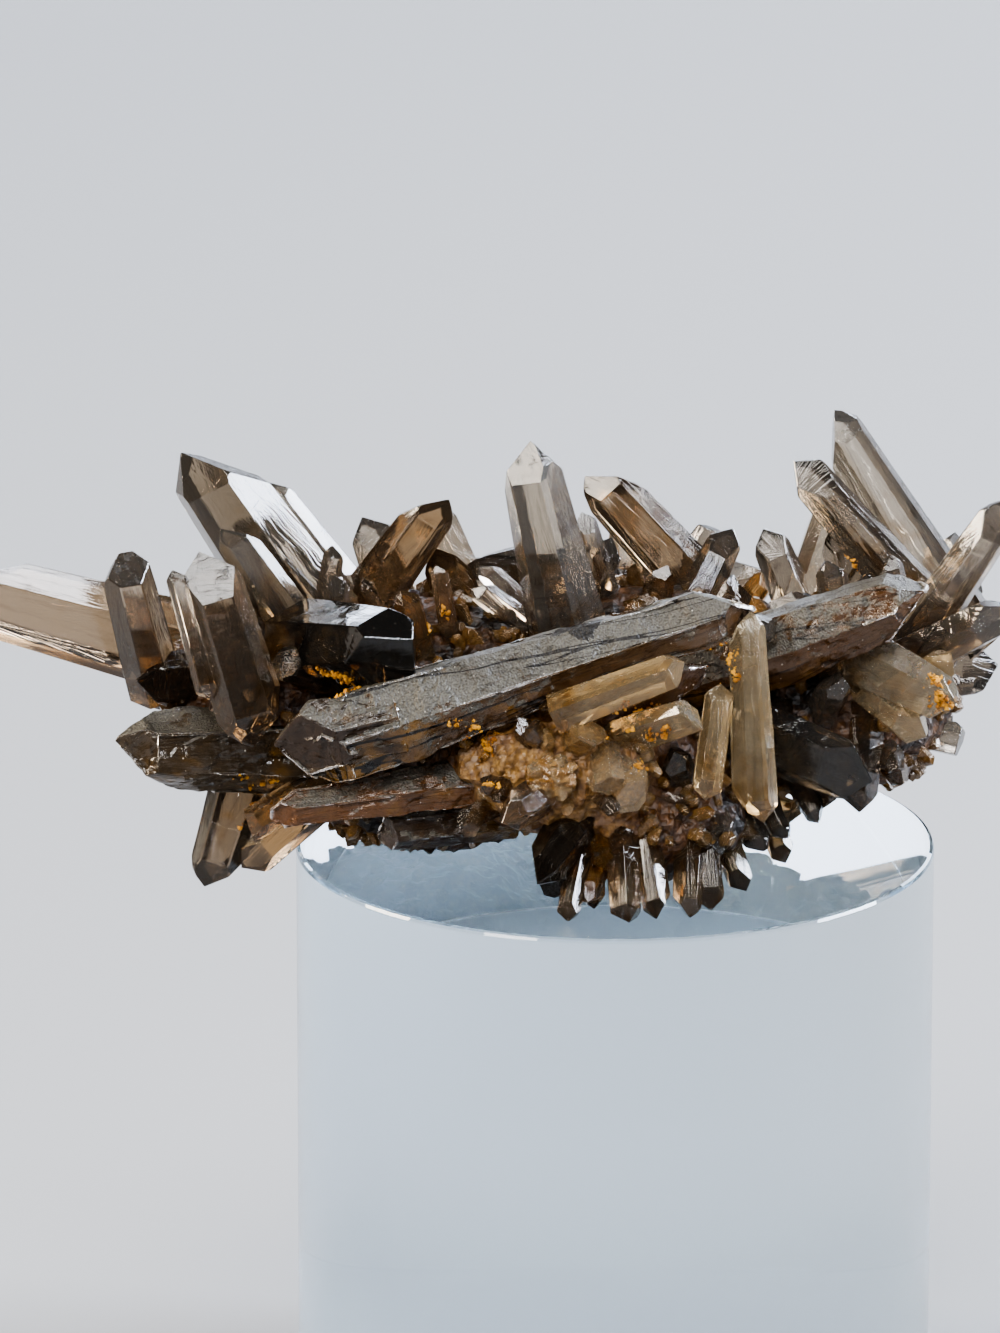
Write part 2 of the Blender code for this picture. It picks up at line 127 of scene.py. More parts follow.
# Crystals of clear smoky quartz
CLEAR_CRYSTALS = [Crystal(*row) for row in (
    ("big_left", (-50, -4, 50), -32, 7, 35, 11.4, "turned", 0.3, 0.1, 0.1, 2),
    ("big_left_companion", (-42, 1, 44), -34, 6, 26, 6.2, "point", 0.1, 0.2, 0),
    ("left_blade", (-46, -10, 42), -31, 12, 23, 5.2, "point", 0.1, 0.1, 0),
    ("left_long", (-79, -7, 34), -70, 14, 48, 11.2, "slab", 0.3, 0.15, 0.35),
    ("left_blunt", (-58, -19, 42), -10, 30, 25, 6.8, "blunt", 0.15, 0.35, 0.2),
    ("left_dark", (-57, -12, 23), -86, 22, 26, 8.0, "point", 0.9, 0.1, 0.1),
    ("left_down", (-48, -13, -2), -162, 16, 18, 7.0, "point", 0.6, 0.2, 0.2),
    ("left_down_small", (-44, -14, 1), -128, 23, 18, 4.2, "point", 0.4, 0.2, 0.6),
    ("left_down_stub", (-45, -17, 6), -118, 18, 14, 4.0, "blunt", 0.3, 0.3, 0.7),
    ("left_down_side", (-45, -11, 2), -146, 5, 15, 3.4, "point", 0.5, 0.1),
    ("left_double", (-48.5, -17, 41), -17, -10, 24, 7.8, "double", 0.5, 0.2, 0.2),
    ("left_strip", (-51.5, -18, 39), -15, -12, 16, 2.8, "double", 0.3, 0.1),
    ("grey_block", (-40, -21, 29), -55, 50, 16, 5.0, "blunt", 0.5, 0.5),
    ("dark_head", (-24, -30, 33), 66, 54, 24, 10.4, "edge_on", 0.85, 0.05, 0, 0),
    ("leaning_slab", (-20, 0, 43), 34, 5, 26, 6.8, "slab", 0.6, 0.2, 0.4),
    ("brown_slab", (-21, 3, 36), -20, 4, 19, 6.0, "slab", 0.8, 0.1, 0.4),
    ("pale_small", (-17, -4, 33), -49, 12, 12, 3.2, "point", 0.0, 0.3),
    ("pale_smaller", (-16, 1, 34), -44, 2, 10, 2.8, "point", 0.0, 0.3),
    ("amber_pair_front", (-25, -12, 35), -13, 13, 13, 3.8, "edge_on", 0.3, 0.1, 0.7),
    ("amber_pair_back", (-21, -9, 37), -9, 6, 14, 2.2, "point", 0.1, 0.2, 0.5),
    ("needle_back", (-33, -8, 39), 10, 12, 13, 2.6, "point", 0.3, 0.1),
    ("needle_front", (-33, -11, 36), -4, 24, 11, 3.0, "point", 0.2, 0.2),
    ("upright", (-11, -9, 52), -12, 6, 30, 8.8, "turned", 0.0, 0.3, 0.0, 4),
    ("front_bright", (-14, -33, 13), -107, 43, 17, 4.8, "point", 0.0, 0.3, 0.4),
    ("down_dark", (-10, -32, 5), -137, 44, 19, 5.4, "point", 0.9, 0.1, 0.1),
    ("down_blunt", (-9, -31, 2), -142, 52, 16, 5.6, "blunt", 0.7, 0.2),
    ("orange_low", (-1, -29, 5), 166, 56, 13, 4.0, "point", 0.2, 0.1, 1),
    ("orange_lower", (-4, -30, 2), -150, 55, 12, 3.2, "point", 0.3, 0.1, 0.9),
    ("rest_point_left", (1, -33, 0.3), 176, 42, 14, 4.0, "edge_on", 0.75, 0.1, 0.3),
    ("rest_point_middle", (5, -31, 0.3), 166, 36, 12, 3.6, "point", 0.75, 0.1, 0.3),
    ("rest_point_right", (8, -31, 0.3), -176, 44, 13, 3.8, "turned", 0.75, 0.1, 0.3),
    ("rest_point_small", (12, -26, 2), 150, 38, 12, 3.4, "point", 0.5, 0.1),
    ("rest_point_far", (-6, -32, 0.3), -166, 42, 12, 3.0, "edge_on", 0.75, 0.1, 0.3),
    ("rest_point_back", (4, -25, 0.3), 175, 12, 12, 4.0, "point", 0.7, 0.1),
    ("rest_point_first", (-3, -28, 0.3), 178, 30, 11, 3.6, "point", 0.9, 0.1, 0.3),
    ("rest_point_second", (11, -28, 0.3), 170, 34, 12, 3.4, "turned", 0.9, 0.1, 0.3),
    ("rest_point_third", (15, -23, 1), 158, 30, 12, 3.2, "point", 0.9, 0.1, 0.3),
    ("rest_point_fourth", (20, -15, 2), 160, 24, 11, 3.0, "point", 0.9, 0.1, 0.3),
    ("low_right_blunt", (13, -27, 6), 148, 50, 14, 5.4, "blunt", 0.4, 0.3, 0.2),
    ("small_grey", (6, -25, 19), -15, 38, 11, 4.4, "point", 0.6, 0.3),
    ("right_finger_low", (46, -14, 33), 55, 23, 24, 5.6, "point", 0.2, 0.3),
    ("right_finger_high", (46, -10, 45), 31, 11, 28, 6.2, "point", 0.1, 0.3),
    ("tall_right_back", (25, 4, 52), -31, 7, 35, 8.2, "edge_on", 0.0, 0.4, 0),
    ("tall_right_front", (21, -3, 48), -39, 10, 32, 7.0, "edge_on", 0.5, 0.1, 0.1),
    ("dark_slab", (30, -21, 14), 107, 20, 22, 8.4, "slab", 0.65, 0.1, 0),
    ("right_down", (28, -18, 9), -175, 26, 13, 4.8, "point", 0.7, 0.2),
    ("right_down_first", (24, -18, 8), 145, 42, 10, 2.8, "point", 0.6, 0.1),
    ("right_down_second", (20, -19, 6), 146, 40, 10, 2.8, "point", 0.6, 0.1),
    ("right_down_third", (17, -21, 5), 153, 46, 11, 3.4, "point", 0.7, 0.1),
    ("right_down_small", (32, -12, 13), 153, 40, 10, 3.2, "point", 0.5, 0.2),
    ("pale_edge", (40, -2, 25), 28, 18, 12, 3.2, "point", 0.1, 0.3),
    ("right_top_front", (25, -10, 38), -8, 15, 13, 3.8, "point", 0.1, 0.3),
    ("right_top_middle", (29, -9, 36), 5, 10, 11, 3.6, "point", 0.4, 0.2),
    ("right_top_last", (32, -5, 37), -12, 8, 12, 3.2, "point", 0.3, 0.2),
    ("middle_right_small", (16, -19, 33), -24, 38, 11, 3.8, "point", 0.4, 0.1),
    ("middle_right_pale", (18, -8, 32), -64, 11, 14, 4.4, "point", 0.2, 0.2),
    ("small_blue", (26, -18, 26), 17, 32, 11, 4.2, "point", 0.3, 0.1),
    ("back_dark", (-3, 14, 42), -43, -9, 32, 8.0, "slab", 0.6, 0.2, 0.3),
    ("back_long", (-19, 17, 29), -79, 6, 30, 5.6, "slab", 0.8, 0.2),
    ("back_round", (12, 24, 35), 8, -12, 17, 5.4, "blunt", 0.5, 0.3),
    ("back_brown", (18, 17, 34), -23, -8, 17, 5.2, "point", 0.6, 0.1),
    ("back_spike", (-4, 2, 40), -16, 8, 16, 3.0, "point", 0.4, 0.1),
    ("back_pair", (26, 8, 37), -16, -10, 17, 5.4, "point", 0.7, 0.1),
    ("back_white", (41, 15, 34), 14, -12, 15, 3.4, "point", 0.0, 0.5),
    ("back_white_low", (38, 18, 33), 9, -16, 13, 3.0, "point", 0.0, 0.5),
    ("rear_left_big", (-44, 24, 34), -46, -34, 40, 10.0, "turned", 0.3, 0.1),
    ("rear_left_low", (-54, 18, 16), -84, -30, 34, 8.2, "edge_on", 0.5, 0.2),
    ("rear_left_tail", (-46, 16, 6), -104, -26, 28, 5.4, "point", 0.5, 0.2),
    ("rear_middle_big", (-14, 40, 24), -24, -68, 34, 9.6, "point", 0.4, 0.1),
    ("rear_middle_up", (-22, 30, 33), -26, -42, 28, 7.0, "turned", 0.3, 0.2),
    ("rear_middle_low", (-2, 38, 10), 94, -80, 28, 6.4, "edge_on", 0.6, 0.1),
    ("rear_log", (20, 34, 24), 78, -12, 46, 8.4, "log", 0.5, 0.6, 0.3),
    ("rear_right_big", (44, 24, 28), 58, -40, 36, 8.8, "point", 0.3, 0.1),
    ("rear_right_low", (40, 26, 12), 88, -46, 28, 6.2, "point", 0.5, 0.2),
    ("rear_right_up", (28, 26, 38), 20, -32, 28, 6.4, "edge_on", 0.2, 0.2),
    ("rear_stub", (8, 38, 18), 80, -70, 20, 6.0, "blunt", 0.5, 0.3),
    ("rear_low_left", (-28, 32, 12), -94, -64, 26, 6.6, "point", 0.5, 0.1),
    ("rear_needle", (2, 27, 37), 6, -28, 18, 3.6, "point", 0.2, 0.2),
    ("right_side_low", (46, 6, 20), 84, -4, 24, 7.0, "turned", 0.5, 0.1),
    ("right_side_stub", (44, 0, 12), 100, 12, 22, 5.4, "blunt", 0.5, 0.3),
    ("left_side_back", (-60, 6, 26), -72, -6, 30, 7.4, "edge_on", 0.4, 0.1),
    ("left_side_low", (-56, 2, 10), -100, -2, 28, 6.6, "point", 0.5, 0.2),
    ("top_left", (-30, 12, 37), -20, -14, 20, 6.0, "edge_on", 0.3, 0.2),
    ("top_middle", (0, 6, 36), 30, -4, 18, 5.4, "point", 0.3, 0.2),
    ("top_right", (14, 10, 36), 26, -10, 18, 5.2, "turned", 0.4, 0.2),
    ("top_far_right", (32, 10, 33), 34, -8, 18, 5.0, "point", 0.2, 0.2),
    ("top_far_left", (-38, 14, 33), -50, -24, 22, 6.0, "point", 0.4, 0.2),
    ("rear_upright", (4, 30, 30), 4, -44, 20, 5.6, "edge_on", 0.3, 0.2),
)]

# Dull grey crystals, etched and coated on the faces that were turned up
ETCHED_CRYSTALS = [Crystal(*row) for row in (
    ("left_low", (-59, -18, 17), -84, 20, 30, 10.4, "point", 0.5, 0.5, 0.0, 4),
    ("long_front", (16, -20.5, 36), 73, -6, 57, 10.4, "log", 0.5, 1.0, 0.3, 4),
    ("long_front_cap", (-40, -28, 20), -102, 8, 15, 10.6, "cap", 0.85, 0.5, 0.1, 0),
    ("lower_plate", (-41, -27, 12), -95, 10, 36, 6.6, "turned", 0.6, 0.5, 0.6, 3),
    ("low_pointer", (-30, -26, 9), -91, 19, 19, 5.6, "blunt", 0.8, 0.6, 0.1),
    ("low_brown", (-37, -19, 10), -98, 18, 15, 3.8, "point", 0.5, 0.4, 0.6),
    ("right_long", (37, -18, 36), 66, 11, 33, 9.8, "edge_on", 0.5, 0.8, 0.4, 1),
    ("druse_ridge", (11, -25, 29), 64, 7, 28, 6.0, "edge_on", 1, 0.4, 0.3),
)]

# Beige, cream and white crystals, cloudy all through
CLOUDY_CRYSTALS = [Crystal(*row) for row in (
    ("cream_block", (3, -32, 13), 145, 52, 16, 6.0, "blunt", 0.15, 0.2, 0.5),
    ("cream_upper", (-2, -31, 24), 40, 45, 12, 4.6, "blunt", 0.15, 0.2, 0.7),
    ("cream_side", (-1, -33, 15), 168, 58, 12, 4.4, "blunt", 0.1, 0.25, 0.4),
    ("upright_bar", (15, -21, 35), -3, -14, 25, 5.2, "double", 0.35, 0.25, 0.3),
    ("upright_bar_side", (12, -24, 27), 8, -18, 14, 3.4, "double", 0.25, 0.2, 0.5),
    ("front_right_blunt", (11, -31, 26), 62, 28, 17, 5.4, "blunt", 0.25, 0.25, 0.5),
    ("amber_right", (8, -30, 31), 66, 10, 17, 4.6, "point", 0.4, 0.15, 0.55),
    ("pale_big", (40, -21, 23), 107, 38, 18, 6.4, "point", 0.05, 0.25, 0.2),
    ("pale_low", (36, -20, 19), 120, 44, 13, 4.4, "point", 0.1, 0.2, 0.4),
    ("stained_tip", (39, -17, 28), 42, 30, 11, 4.0, "point", 0.1, 0.2, 0.8),
)]

# The root mass: centre and half sizes of each lump, in millimetres from the cylinder's top
Lump = namedtuple("Lump", "name centre half_size")
LUMPS = [
    Lump("left_root", (-22, 0, 15), (21, 19, 16)),
    Lump("middle_root", (2, 2, 15), (22, 22, 16)),
    Lump("right_root", (24, 0, 18), (17, 17, 12)),
    Lump("sugary_front", (-7, -20, 16), (15, 10, 9)),
    Lump("low_front", (3, -19, 9), (13, 9, 8)),
    Lump("left_arm", (-42, -5, 20), (13, 10, 10)),
    Lump("back_root", (-4, 18, 16), (30, 14, 12)),
]
# The lumps are drawn a little under their full size, because druse grows on them
LUMP_SHRINK = 0.95

# Small crystals that crowd the root mass: how many on each lump, and their width and length
Druse = namedtuple("Druse", "lump count width length")
DRUSES = [
    Druse("left_root", 14, (2.4, 4.2), (6, 10)),
    Druse("middle_root", 14, (2.2, 4.0), (6, 10)),
    Druse("right_root", 12, (2.2, 3.8), (5, 9)),
    Druse("sugary_front", 16, (2.0, 3.4), (4, 7)),
    Druse("left_arm", 8, (2.2, 3.8), (5, 8)),
    Druse("back_root", 18, (2.4, 4.6), (6, 11)),
]
DRUSE_SINK = 0.55
DRUSE_LEAN = 0.35
DRUSE_TONES = (0.2, 0.9)
DRUSE_AMBERS = (0.1, 0.8)
DRUSE_FROST = 0.2

# The sugary place on the front of the root mass, where the fine crystals are pale and golden
SUGARY_PLACE = (-8, -26, 17)
SUGARY_REACH = 13 * MM
SUGARY_SHARE = 0.25
# The place on the top of the long front crystal where a flake broke off and left it dark
BROKEN_PLACE = (-4.8, -23, 35)
BROKEN_REACH = 3.3 * MM
# Fine crystals as modelled: the length, tone and amber of each, over a width of a millimetre
PALE_DRUSE = ((1.9, 0.0, 0.5), (2.2, 0.2, 0.8), (1.6, 0.1, 0.2))
BROWN_DRUSE = ((2.6, 0.8, 0.4), (2.1, 0.6, 0.6), (3.0, 0.9, 0.2))
# Rays that look for the root mass end within this span, in millimetres, of this place
DRUSE_CENTRE = (-8, 2, 14)
DRUSE_SPAN = (34, 12)
RAY_LENGTH = 0.1
# How fine crystals vary: lean, share of the full width, tip's height over the width, and how near
# the sugary place they turn pale
FINE_LEAN = 0.5
FINE_WIDTHS = (0.35, 1.0)
FINE_HEIGHTS = (0.7, 1.4)
SUGARY_EDGE = (0.7, 1.2)

# Specks of iron stain: where they gather, how far they spread, and how many there are
StainSpot = namedtuple("StainSpot", "place spread count")
STAIN_SPOTS = [
    StainSpot((-32, -23, 27), 3.0, 220),
    StainSpot((38, -21, 24), 3.6, 220),
    StainSpot((2, -28, 23), 4.0, 180),
    StainSpot((-15, -28, 19), 4.0, 160),
    StainSpot((13, -24, 28), 2.5, 90),
    StainSpot((-42, -14, 12), 5.0, 90),
    StainSpot((-24, -8, 31), 4.0, 80),
    StainSpot((26, 0, 34), 4.0, 90),
]

# A spot's crumbs lie in so many clots, each spread this far in millimetres
CLOTS = 7
CLOT_SPREAD = 0.45
# Crumbs: the least radius and what the largest has more, in millimetres, how rough they are, how
# far they stand out, and how near the stand they may lie
CRUMB_LEAST = 0.07
CRUMB_MORE = 0.26
CRUMB_ROUGHNESS = (0.5, 1.5)
CRUMB_RISE = 0.3
CRUMB_FLOOR = 2 * MM

# An etched crystal's faces are divided this finely, and then weathered by layers of noise: its
# name, grain size and depth, its strength in millimetres, and the level it breaks off at, if any
GRID_STEP = 2.6 * MM
WEATHERING = (
    ("swells", 9.0, 1, 1.1, None),
    ("crust", 4.5, 3, 0.22, 0.5),
    ("pits", 1.1, 2, 0.22, None),
)
BREAK_SOFTNESS = 0.03
# A texture's grey that leaves the surface where it is
MID_LEVEL = 0.6
# The root mass is roughened by layers too: name, kind, and grain and strength in millimetres
ROUGHENING = (("swells", "CLOUDS", 6, 2.4), ("knobs", "VORONOI", 2.2, 1.5))

# The kinds of quartz: colour of pale, dark, golden and crusted places, how clear it is, roughness of
# its clean faces, height of its relief, and its smoke over that of the clear crystals
Look = namedtuple("Look", "pale dark amber frost clearness gloss relief smokiness")
LOOKS = {
    "smoky_quartz_clear": Look(
        "#F4EFE6", "#2A211A", "#E4B26C", "#B4AC9E", 0.95, 0.03, 0.04 * MM, 1.0),
    "smoky_quartz_etched": Look(
        "#82705A", "#1E1712", "#9C6430", "#9E998C", 0.6, 0.12, 0.13 * MM, 1.0),
    "milky_quartz": Look("#F2EAD6", "#93815F", "#E2BE80", "#EDE6D2", 0.88, 0.05, 0.04 * MM, 0.3),
    "druse_quartz": Look("#E8D2AC", "#4C3624", "#D09A4C", "#D8CCB4", 0.75, 0.05, 0.04 * MM, 0.0),
}
RUST = "#B48436"
DUST = "#F2EADC"
CRACK = "#1E1812"
CRUST_SHADE = "#3E3B35"

# How many waves of each pattern lie in a metre
FLAKES_PER_METRE = 340.0
SUGAR_PER_METRE = 4200.0
WISPS_PER_METRE = 230.0
DUST_PER_METRE = 700.0
CLOUDS_PER_METRE = 160.0
GRAINS_PER_METRE = 1300.0
CRUMBS_PER_METRE = 500.0
RUBS_PER_METRE = 90.0

# The camera: focal length and distance fit the cylinder's rim in the photograph
IMAGE_HEIGHT = 1333
FOCAL_PIXELS = 11000
SENSOR = 36.0
CAMERA_PLACE = (-13.7 * MM, -1249.1 * MM, 472.45 * MM)
CAMERA_PITCH = 16.7
# The floor lies just under the cylinder, so that the two faces don't share a plane
FLOOR_SIZE = 12.0
FLOOR_DROP = 0.1 * MM

# The soft lights: where each stands, its width and height, its power in watts and its colour
Softbox = namedtuple("Softbox", "name place size power colour")
SOFTBOXES = [
    Softbox("right_window", (1.35, 0.02, 0.58), (0.7, 0.6), 44, "#E6EFFF"),
    Softbox("right_back_window", (1.05, 1.05, 0.55), (0.6, 0.5), 18, "#E6EFFF"),
    Softbox("left_window", (-1.35, -0.02, 0.52), (0.5, 0.5), 22, "#FFEFDA"),
    Softbox("back_window", (0.0, 1.60, 0.80), (1.7, 0.5), 22, "#E4EEFF"),
    Softbox("overhead", (-0.1, -0.80, 1.35), (0.8, 0.6), 16, "#FFFFFF"),
    Softbox("right_top", (1.00, 0.05, 1.35), (0.6, 0.5), 16, "#EEF4FF"),
    Softbox("front_small", (-0.1, -1.70, 0.62), (0.3, 0.3), 6, "#F0F4FF"),
    Softbox("front_left", (-0.85, -1.05, 0.85), (0.5, 0.5), 11, "#FFF6EA"),
]


class QuartzSizes(PropertyGroup):
    """Sizes of the cluster's finer shapes."""

    worn_round: FloatProperty(
        name="Worn edge rounding", description="Width of the bevel on an etched crystal's edges",
        default=0.0006, min=0.0, unit="LENGTH")
    edge_round: FloatProperty(
        name="Edge rounding", description="Width of the small bevel on a crystal's edges",
        default=0.00012, min=0.0, unit="LENGTH")
    ledge_depth: FloatProperty(
        name="Ledge depth", description="How far a growth ledge steps in on a large crystal",
        default=0.00016, min=0.0, unit="LENGTH")
    druse_count: IntProperty(
        name="Fine druse", description="How many fine crystals crowd the root mass",
        default=1600, min=0)
    druse_width: FloatProperty(
        name="Druse width", description="Widest fine crystal",
        default=0.002, min=0.0, unit="LENGTH")
    root_voxel: FloatProperty(
        name="Root mesh", description="Mesh size of the root mass",
        default=0.0007, min=0.0002, unit="LENGTH")
    stand_chamfer: FloatProperty(
        name="Stand chamfer", description="Width of the chamfer round the cylinder's faces",
        default=0.0005, min=0.0, unit="LENGTH")


class QuartzLooks(PropertyGroup):
    """Colours of the cluster, its stand and the floor."""

    smoke: FloatVectorProperty(
        name="Smoke", description="What is left of white light after a long way through the quartz",
        subtype="COLOR", size=3, min=0, max=1, default=(0.58, 0.50, 0.38))
    smoke_density: FloatProperty(
        name="Smoke density", description="Absorption of the clear crystals, per metre",
        default=240.0, min=0.0)
    floor_grey: FloatProperty(
        name="Floor", description="How pale the floor is",
        default=0.29, min=0.0, max=1.0)
    brightness: FloatProperty(
        name="Brightness", description="Brightness of the soft lights, over their own",
        default=1.0, min=0.0)
    room_strength: FloatProperty(
        name="Room light", description="Strength of the even light from all sides",
        default=0.12, min=0.0)


def linear(text):
    """A hex colour as linear RGBA."""
    parts = [int(text[place:place + 2], 16) / 255 for place in (1, 3, 5)]
    curve = [part / 12.92 if part <= 0.04045 else ((part + 0.055) / 1.055) ** 2.4 for part in parts]
    return (*curve, 1.0)


def add_node(tree, kind, settings=None, inputs=None):
    """Adds a node, sets its properties, and fills or links its inputs."""
    made = tree.nodes.new("ShaderNode" + kind)
    for name, value in (settings or {}).items():
        setattr(made, name, value)
    for name, value in (inputs or {}).items():
        if isinstance(value, bpy.types.NodeSocket):
            tree.links.new(value, made.inputs[name])
        else:
            made.inputs[name].default_value = value
    return made


def new_material(name):
    """A material with its node tree and its Principled shader."""
    made = bpy.data.materials.new(name)
    made.use_nodes = True
    return made, made.node_tree, made.node_tree.nodes["Principled BSDF"]


def deselect_all():
    """Leaves nothing selected."""
    bpy.ops.object.select_all(action="DESELECT")


def only(thing):
    """Selects one object and makes it active."""
    deselect_all()
    thing.select_set(True)
    bpy.context.view_layer.objects.active = thing
    return thing


def join(things, name):
    """Joins objects into one."""
    only(things[0])
    for thing in things:
        thing.select_set(True)
    bpy.ops.object.join()
    joined = bpy.context.active_object
    joined.name = name
    joined.data.name = name
    return joined


def apply_modifiers(thing):
    """Applies an object's modifiers, the first one first."""
    only(thing)
    for name in [modifier.name for modifier in thing.modifiers]:
        bpy.ops.object.modifier_apply(modifier=name)


def displace(thing, name, kind, size, strength):
    """Adds a displacement by a texture, its grain and strength in millimetres."""
    texture = bpy.data.textures.new(name, kind)
    texture.noise_scale = size * MM
    moved = thing.modifiers.new(name, "DISPLACE")
    moved.texture = texture
    moved.texture_coords = "GLOBAL"
    moved.mid_level = MID_LEVEL
    moved.strength = strength * MM
    return texture


def copy_of(model):
    """A copy of a model, with a mesh of its own."""
    made = model.copy()
    made.data = model.data.copy()
    bpy.context.scene.collection.objects.link(made)
    return made


def finish_piece(piece, material, node):
    """Sets a finished piece's material, hangs it on the empty of what it rides on, and hides the CAD
    part it stands for.
    """
    piece.data.materials.clear()
    piece.data.materials.append(material)
    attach(piece, BODY)
    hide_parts(node)


def above_stand(point):
    """A point given in millimetres from the centre of the cylinder's top."""
    return Vector(point) * MM + Vector((0, 0, STAND_TOP))


def axis_of(lean, toward):
    """The direction of a crystal, from its two angles in degrees."""
    lean = math.radians(lean)
    toward = math.radians(toward)
    return Vector((
        math.cos(toward) * math.sin(lean),
        -math.sin(toward),
        math.cos(toward) * math.cos(lean),
    ))


def placing(tip, axis, turn):
    """Puts a tip at its place, with local +X as near to the viewer as the axis lets it."""
    viewer = Vector((0, -1, 0))
    if abs(viewer.dot(axis)) > END_ON:
        viewer = Vector((0, 0, 1))
    front = (viewer - axis * viewer.dot(axis)).normalized()
    turned = Matrix((front, axis.cross(front), axis)).transposed().to_4x4()
    return Matrix.Translation(tip) @ turned @ Matrix.Rotation(math.radians(turn), 4, "Z")


def slanted(reach, rng):
    """A direction near upright, off it by no more than a reach each way."""
    return Vector((rng.uniform(-reach, reach), rng.uniform(-reach, reach), 1)).normalized()


def cut_sides(half_root, half_end, length, rng):
    """Makes the six sides of a prism uneven."""
    for side in range(SIDES):
        share = rng.uniform(*SIDE_SHARES)
        around = math.tau * side / SIDES
        outer = Vector((math.cos(around), math.sin(around), 0))
        taper = Vector((0, 0, (half_root - half_end) * share / length))
        cut_away(outer * half_end * share, (outer + taper).normalized())


def end_face_offsets(rng, deep):
    """How far each end face stands off the tip, over the crystal's half width over flats.

    Every second face is the smaller one, and one face is cut deeper than the rest.
    """
    offsets = [
        rng.uniform(0.0, FACE_SPREAD) + (SMALL_FACE_OFFSET if side % 2 else 0.0)
        for side in range(SIDES)
    ]
    any_large = 2 * rng.randrange(3)
    offsets[any_large if deep is None else deep] = DEEP_CUT
    return offsets


def cut_away(point, normal):
    """In edit mode, removes what lies beyond a plane and closes the cut."""
    bpy.ops.mesh.select_all(action="SELECT")
    bpy.ops.mesh.bisect(
        plane_co=point, plane_no=normal, use_fill=True, clear_outer=True, threshold=CUT_THRESHOLD)


def divide(point, normal):
    """In edit mode, divides all faces along a plane."""
    bpy.ops.mesh.select_all(action="SELECT")
    bpy.ops.mesh.bisect(plane_co=point, plane_no=normal, threshold=CUT_THRESHOLD)


def cut_point(half_flat, height, upward, rng, deep):
    """Cuts one end of a prism to six sloping faces that meet near a height on its axis."""
    for side, offset in enumerate(end_face_offsets(rng, deep)):
        around = math.tau * side / SIDES
        normal = Vector((
            math.sin(END_FACE_TILT) * math.cos(around),
            math.sin(END_FACE_TILT) * math.sin(around),
            upward * math.cos(END_FACE_TILT),
        ))
        cut_away(Vector((0, 0, height)) + normal * offset * half_flat, normal)


def select_above(thing, height):
    """In edit mode, selects the points over a height."""
    bpy.ops.mesh.select_all(action="DESELECT")
    cage = bmesh.from_edit_mesh(thing.data)
    offset = thing.location.z
    for vert in cage.verts:
        vert.select = vert.co.z + offset > height
    cage.select_flush_mode()
    bmesh.update_edit_mesh(thing.data)


def add_ledges(thing, length, half_flat, depth, rng):
    """Steps a large crystal in along its length, as ends of its growth layers do."""
    count = int(length / LEDGE_SPACING)
    for index in range(count):
        height = -length * (LEDGE_START + LEDGE_RUN * (index + rng.uniform(0.2, 0.8)) / count)
        slope = slanted(LEDGE_SLANT, rng)
        for level in (height, height + depth):
            divide((0, 0, level), slope)
        select_above(thing, height + depth / 2 + half_flat * 0.3)
        shrink = 1 - rng.uniform(*LEDGE_STEPS) * depth / half_flat
        bpy.ops.transform.resize(value=(shrink, shrink, 1), center_override=(0, 0, 0))


def add_grid(length):
    """Divides a crystal's faces, so that they can be weathered."""
    for index in range(1, int(length / GRID_STEP)):
        divide((0, 0, -index * GRID_STEP), (0, 0, 1))
    for index in range(SIDES):
        around = math.pi * (index + 0.5) / SIDES
        divide((0, 0, 0), (math.cos(around), math.sin(around), 0))


def weather(thing):
    """Etches old crystals: slow swells, a crust that has flaked off in steps, and fine pits."""
    finer = thing.modifiers.new("finer", "SUBSURF")
    finer.subdivision_type = "SIMPLE"
    finer.levels = 2
    finer.render_levels = 2
    for name, size, depth, strength, edge in WEATHERING:
        texture = displace(thing, name, "CLOUDS", size, strength)
        texture.noise_depth = depth
        if edge:
            texture.use_color_ramp = True
            texture.color_ramp.elements[0].position = edge - BREAK_SOFTNESS
            texture.color_ramp.elements[0].color = (0, 0, 0, 1)
            texture.color_ramp.elements[1].position = edge + BREAK_SOFTNESS
            texture.color_ramp.elements[1].color = (1, 1, 1, 1)
    apply_modifiers(thing)


def mark_growth(mesh, length, tone, frost, amber):
    """Keeps, for the material, how the crystal's surface lies along its axis.

    The UV map runs across and along each face, in centimetres. The colour holds the height from
    the root, the tone and the frost, and its alpha the amber.
    """
    along = mesh.uv_layers.new(name="along_growth")
    held = mesh.color_attributes.new("growth", "FLOAT_COLOR", "CORNER")
    for face in mesh.polygons:
        level = Vector((0, 0, 1))
        across = level.cross(face.normal)
        across = across.normalized() if across.length > 0.01 else Vector((1, 0, 0))
        up = face.normal.cross(across)
        for corner in face.loop_indices:
            place = mesh.vertices[mesh.loops[corner].vertex_index].co
            along.data[corner].uv = (place.dot(across) * UV_PER_METRE, place.dot(up) * UV_PER_METRE)
            held.data[corner].color = (1 + place.z / length, tone, frost, amber)


